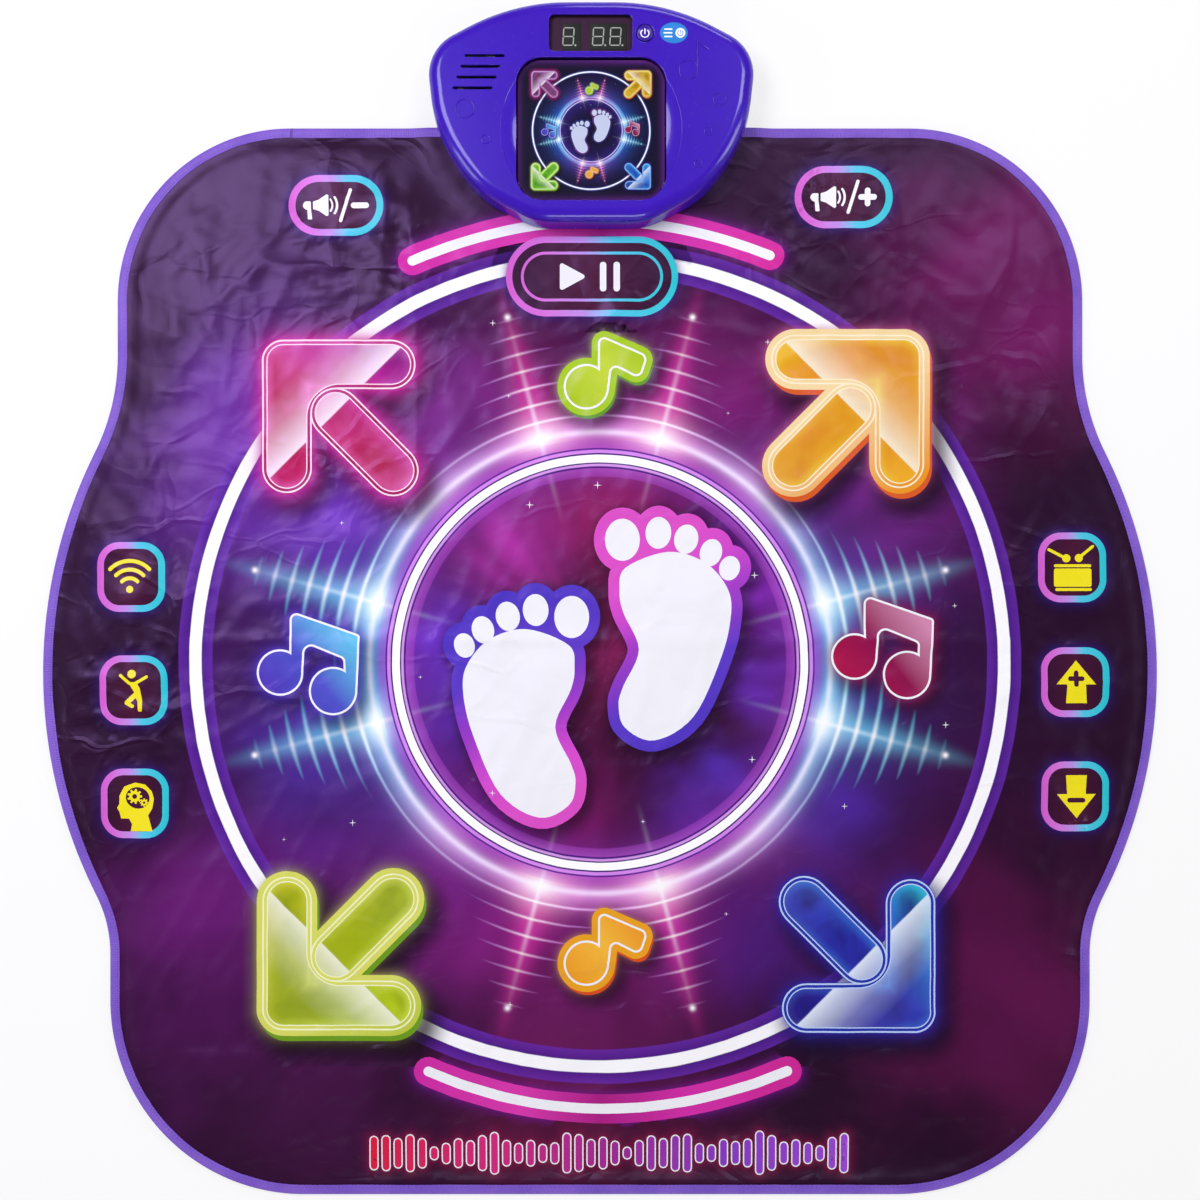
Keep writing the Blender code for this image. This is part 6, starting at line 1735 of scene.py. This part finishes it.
print("button and label")
b = buttonShape
profile = [(0, 30.4), (2.5, 30.4), (2.5, 31.6), (8.1, 31.65), (8.1, 32.7), (b["radius"], 32.75)]
profile += [(b["radius"] - inset, b["top"] - drop) for inset, drop in (
    (0, 0.8), (0.08, 0.45), (0.3, 0.15), (0.8, 0), (1.4, 0.05), (2.2, 0.25))]
profile += [(2.0, b["top"] - 0.4), (0, b["top"] - 0.42)]
bm = lathed(buttonCentre, profile)
newPiece("power_key", bm, [violetButton], "power_button", ["power_button"], 40)
whiteInk, tree, shader = newMaterial("white ink", "#f2f2f6", 0.45)
unevenRoughness(tree, shader, 500, 2, 0.38, 0.52)
blueInk, tree, shader = newMaterial("blue label", "#0a78c8", 0.35)
unevenColour(tree, shader, 120, 3, "#0870c0", "#1086d4")


def powerSign(centre, radius, half):
    x, y = centre
    stroke = barLoop((x, y - radius * 0.1), (x, y + radius * 1.1), half)
    return [arcLoop(centre, radius, half, 132, 408, 40), stroke]


keyTop = dict(name="key", centre=buttonCentre, scale=1.0, cloth=False, lift=0.03, height=b["top"] - 0.40)
bm = bmesh.new()
paintShape(bm, [(0, powerSign((0, -0.2), 3.2, 0.46))], keyTop)
sign = newPiece("power_sign", bm, [whiteInk], "power_button")
giveThickness(sign, 0.08, 1)
labelPlace = keyTop | dict(name="label", centre=consolePoint(*labelShape["at"]), lift=0.14, height=s["top"])
disc, discRadius = labelShape["disc"]
across, along = labelShape["size"]
layers = [(1, [ovalLoop((0, 0), across, along, 0, 72)]), (0, [ovalLoop((disc, 0), discRadius, discRadius)]),
    (1, powerSign((disc, -0.1), 2.1, 0.3)), (0, [barLoop((-7.0, 2.9), (-1.6, 2.9), 0.6),
    barLoop((-7.6, 0), (-1.6, 0), 0.6), barLoop((-7.0, -2.9), (-1.6, -2.9), 0.6)])]
bm = bmesh.new()
paintShape(bm, layers, labelPlace)
label = newPiece("power_label", bm, [whiteInk, blueInk])
giveThickness(label, 0.14)


# Finishes of the parts that keep their moulded shape

def dress(material, *nodes):
    for node in nodes:
        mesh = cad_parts[node].data
        for k in range(len(mesh.materials)):
            mesh.materials[k] = material


def grained(name, colour, second, roughness, metallic=0.0, scale=80, depth=0.00005):
    material, tree, shader = newMaterial(name, colour, roughness, metallic)
    share = noiseShare(tree, objectCoords(tree), scale, 4)
    tree.links.new(mixColour(tree, share, ink(second), ink(colour)), shader.inputs["Base Color"])
    tree.links.new(spread(tree, share, roughness - 0.08, roughness + 0.1), shader.inputs["Roughness"])
    tree.links.new(noiseBump(tree, scale * 9, 3, depth, 0.6), shader.inputs["Normal"])
    return material


blackPlastic = grained("black plastic", "#1a1a1d", "#131316", 0.45)
whitePlastic = grained("white plastic", "#e8e8e4", "#dcdcd8", 0.5)
green = grained("circuit board", "#1d6b3a", "#165a30", 0.4)
film = grained("circuit film", "#cfd3d8", "#bcc2c8", 0.25)
foamFinish = grained("spacer foam", "#3a3a3f", "#2a2a2e", 0.9, 0, 300, 0.0003)
carbon = grained("contact carbon", "#17171a", "#0f0f12", 0.7)
rubber = grained("foot rubber", "#202022", "#161618", 0.8)
steel = grained("screw steel", "#b8bac0", "#9a9ca2", 0.3, 1.0, 400, 0.00002)
spring = grained("contact steel", "#c8cacc", "#aeb0b4", 0.25, 1.0, 300, 0.00002)
basket = grained("speaker steel", "#5a5c60", "#48494d", 0.4, 1.0)
paper = grained("speaker paper", "#1c1b1b", "#121111", 0.9, 0, 500, 0.0002)
sleeve = grained("cell sleeve", "#3a3f47", "#30343b", 0.35)
contacts = [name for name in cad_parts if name.startswith("contact_") and "plate" not in name]
dress(violetBase, "base_shell", "battery_door")
dress(blackPlastic, "clamp_plate", "power_switch")
dress(whitePlastic, "light_box")
dress(green, "main_board", "led_board", "display_board")
dress(film, "upper_film", "lower_film", "film_tail")
dress(foamFinish, "spacer_foam")
dress(carbon, *contacts)
corners = [f"{row}_{side}" for row in ("far", "near") for side in ("left", "right")]
dress(rubber, *["foot_" + corner for corner in corners])
dress(steel, "door_screw", *["case_screw_" + corner for corner in corners])
plates = [f"{side}_{kind}" for side in ("left", "right") for kind in ("bridge", "single")]
dress(spring, *["contact_plate_" + plate for plate in plates])
dress(basket, "speaker_basket")
dress(paper, "speaker_cone")
dress(sleeve, *[f"battery_cell_{k}" for k in (1, 2, 3)])


# Stage

cameraSpot = dict(height=1350, middleY=2.7, across=971.2, matLevel=4)  # the photograph's width at the mat
room = dict(light=0.12, floorGlow=0.7, floorHalf=4, floorDrop=0.0003)
lampSpots = {  # the window gives the sheen on the far left of the mat, the others an even light
    "window": dict(at=(-0.80, 0.66, 1.5), size=(0.8, 0.8), power=22, tint=(0.90, 0.86, 1.0)),
    "left": dict(at=(-2.7, -0.7, 1.15), size=(0.8, 1.4), power=22),
    "right": dict(at=(2.7, -0.1, 1.15), size=(0.8, 1.4), power=26),
    "near": dict(at=(0.3, -2.8, 1.15), size=(1.4, 0.8), power=27),
    "far": dict(at=(0.6, 2.9, 1.15), size=(1.4, 0.8), power=21),
    "strip": dict(at=(0.66, 0.8, 1.3), size=(0.66, 0.22), power=5, aim=(0.66, 0.8, 0))}

scene = bpy.context.scene
camera = bpy.data.objects.new("camera", bpy.data.cameras.new("camera"))
scene.collection.objects.link(camera)
camera.location = (0, cameraSpot["middleY"] * 0.001, cameraSpot["height"] * 0.001)
camera.data.sensor_width = 36
camera.data.lens = 36 * (cameraSpot["height"] - cameraSpot["matLevel"]) / cameraSpot["across"]
scene.camera = camera

for name, spot in lampSpots.items():
    lamp = bpy.data.lights.new(name, "AREA")
    lamp.shape = "RECTANGLE"
    lamp.size, lamp.size_y = spot["size"]
    lamp.energy = spot["power"]
    lamp.color = spot.get("tint", (1, 1, 1))
    holder = bpy.data.objects.new(name, lamp)
    scene.collection.objects.link(holder)
    holder.location = spot["at"]
    way = Vector(spot.get("aim", (0, 0, 0))) - Vector(spot["at"])
    holder.rotation_euler = way.to_track_quat("-Z", "Y").to_euler()

world = bpy.data.worlds.new("room")
scene.world = world
world.use_nodes = True
world.node_tree.nodes["Background"].inputs[0].default_value = (1, 1, 1, 1)
world.node_tree.nodes["Background"].inputs[1].default_value = room["light"]

floorMaterial, tree, shader = newMaterial("pale floor", "#f2f2f2", 0.9)
light = tree.nodes.new("ShaderNodeEmission")
path = tree.nodes.new("ShaderNodeLightPath")
seen = times(tree, path.outputs["Is Camera Ray"], room["floorGlow"])
mix = tree.nodes.new("ShaderNodeMixShader")
tree.links.new(seen, mix.inputs[0])
tree.links.new(shader.outputs[0], mix.inputs[1])
tree.links.new(light.outputs[0], mix.inputs[2])
tree.links.new(mix.outputs[0], tree.nodes["Material Output"].inputs[0])
bm = bmesh.new()
bmesh.ops.create_grid(bm, x_segments=1, y_segments=1, size=room["floorHalf"])
mesh = bpy.data.meshes.new("floor")
bm.to_mesh(mesh)
bm.free()
mesh.materials.append(floorMaterial)
floor = bpy.data.objects.new("floor", mesh)
floor.location.z = -room["floorDrop"]
scene.collection.objects.link(floor)

scene.view_settings.view_transform = "Standard"

print("done")
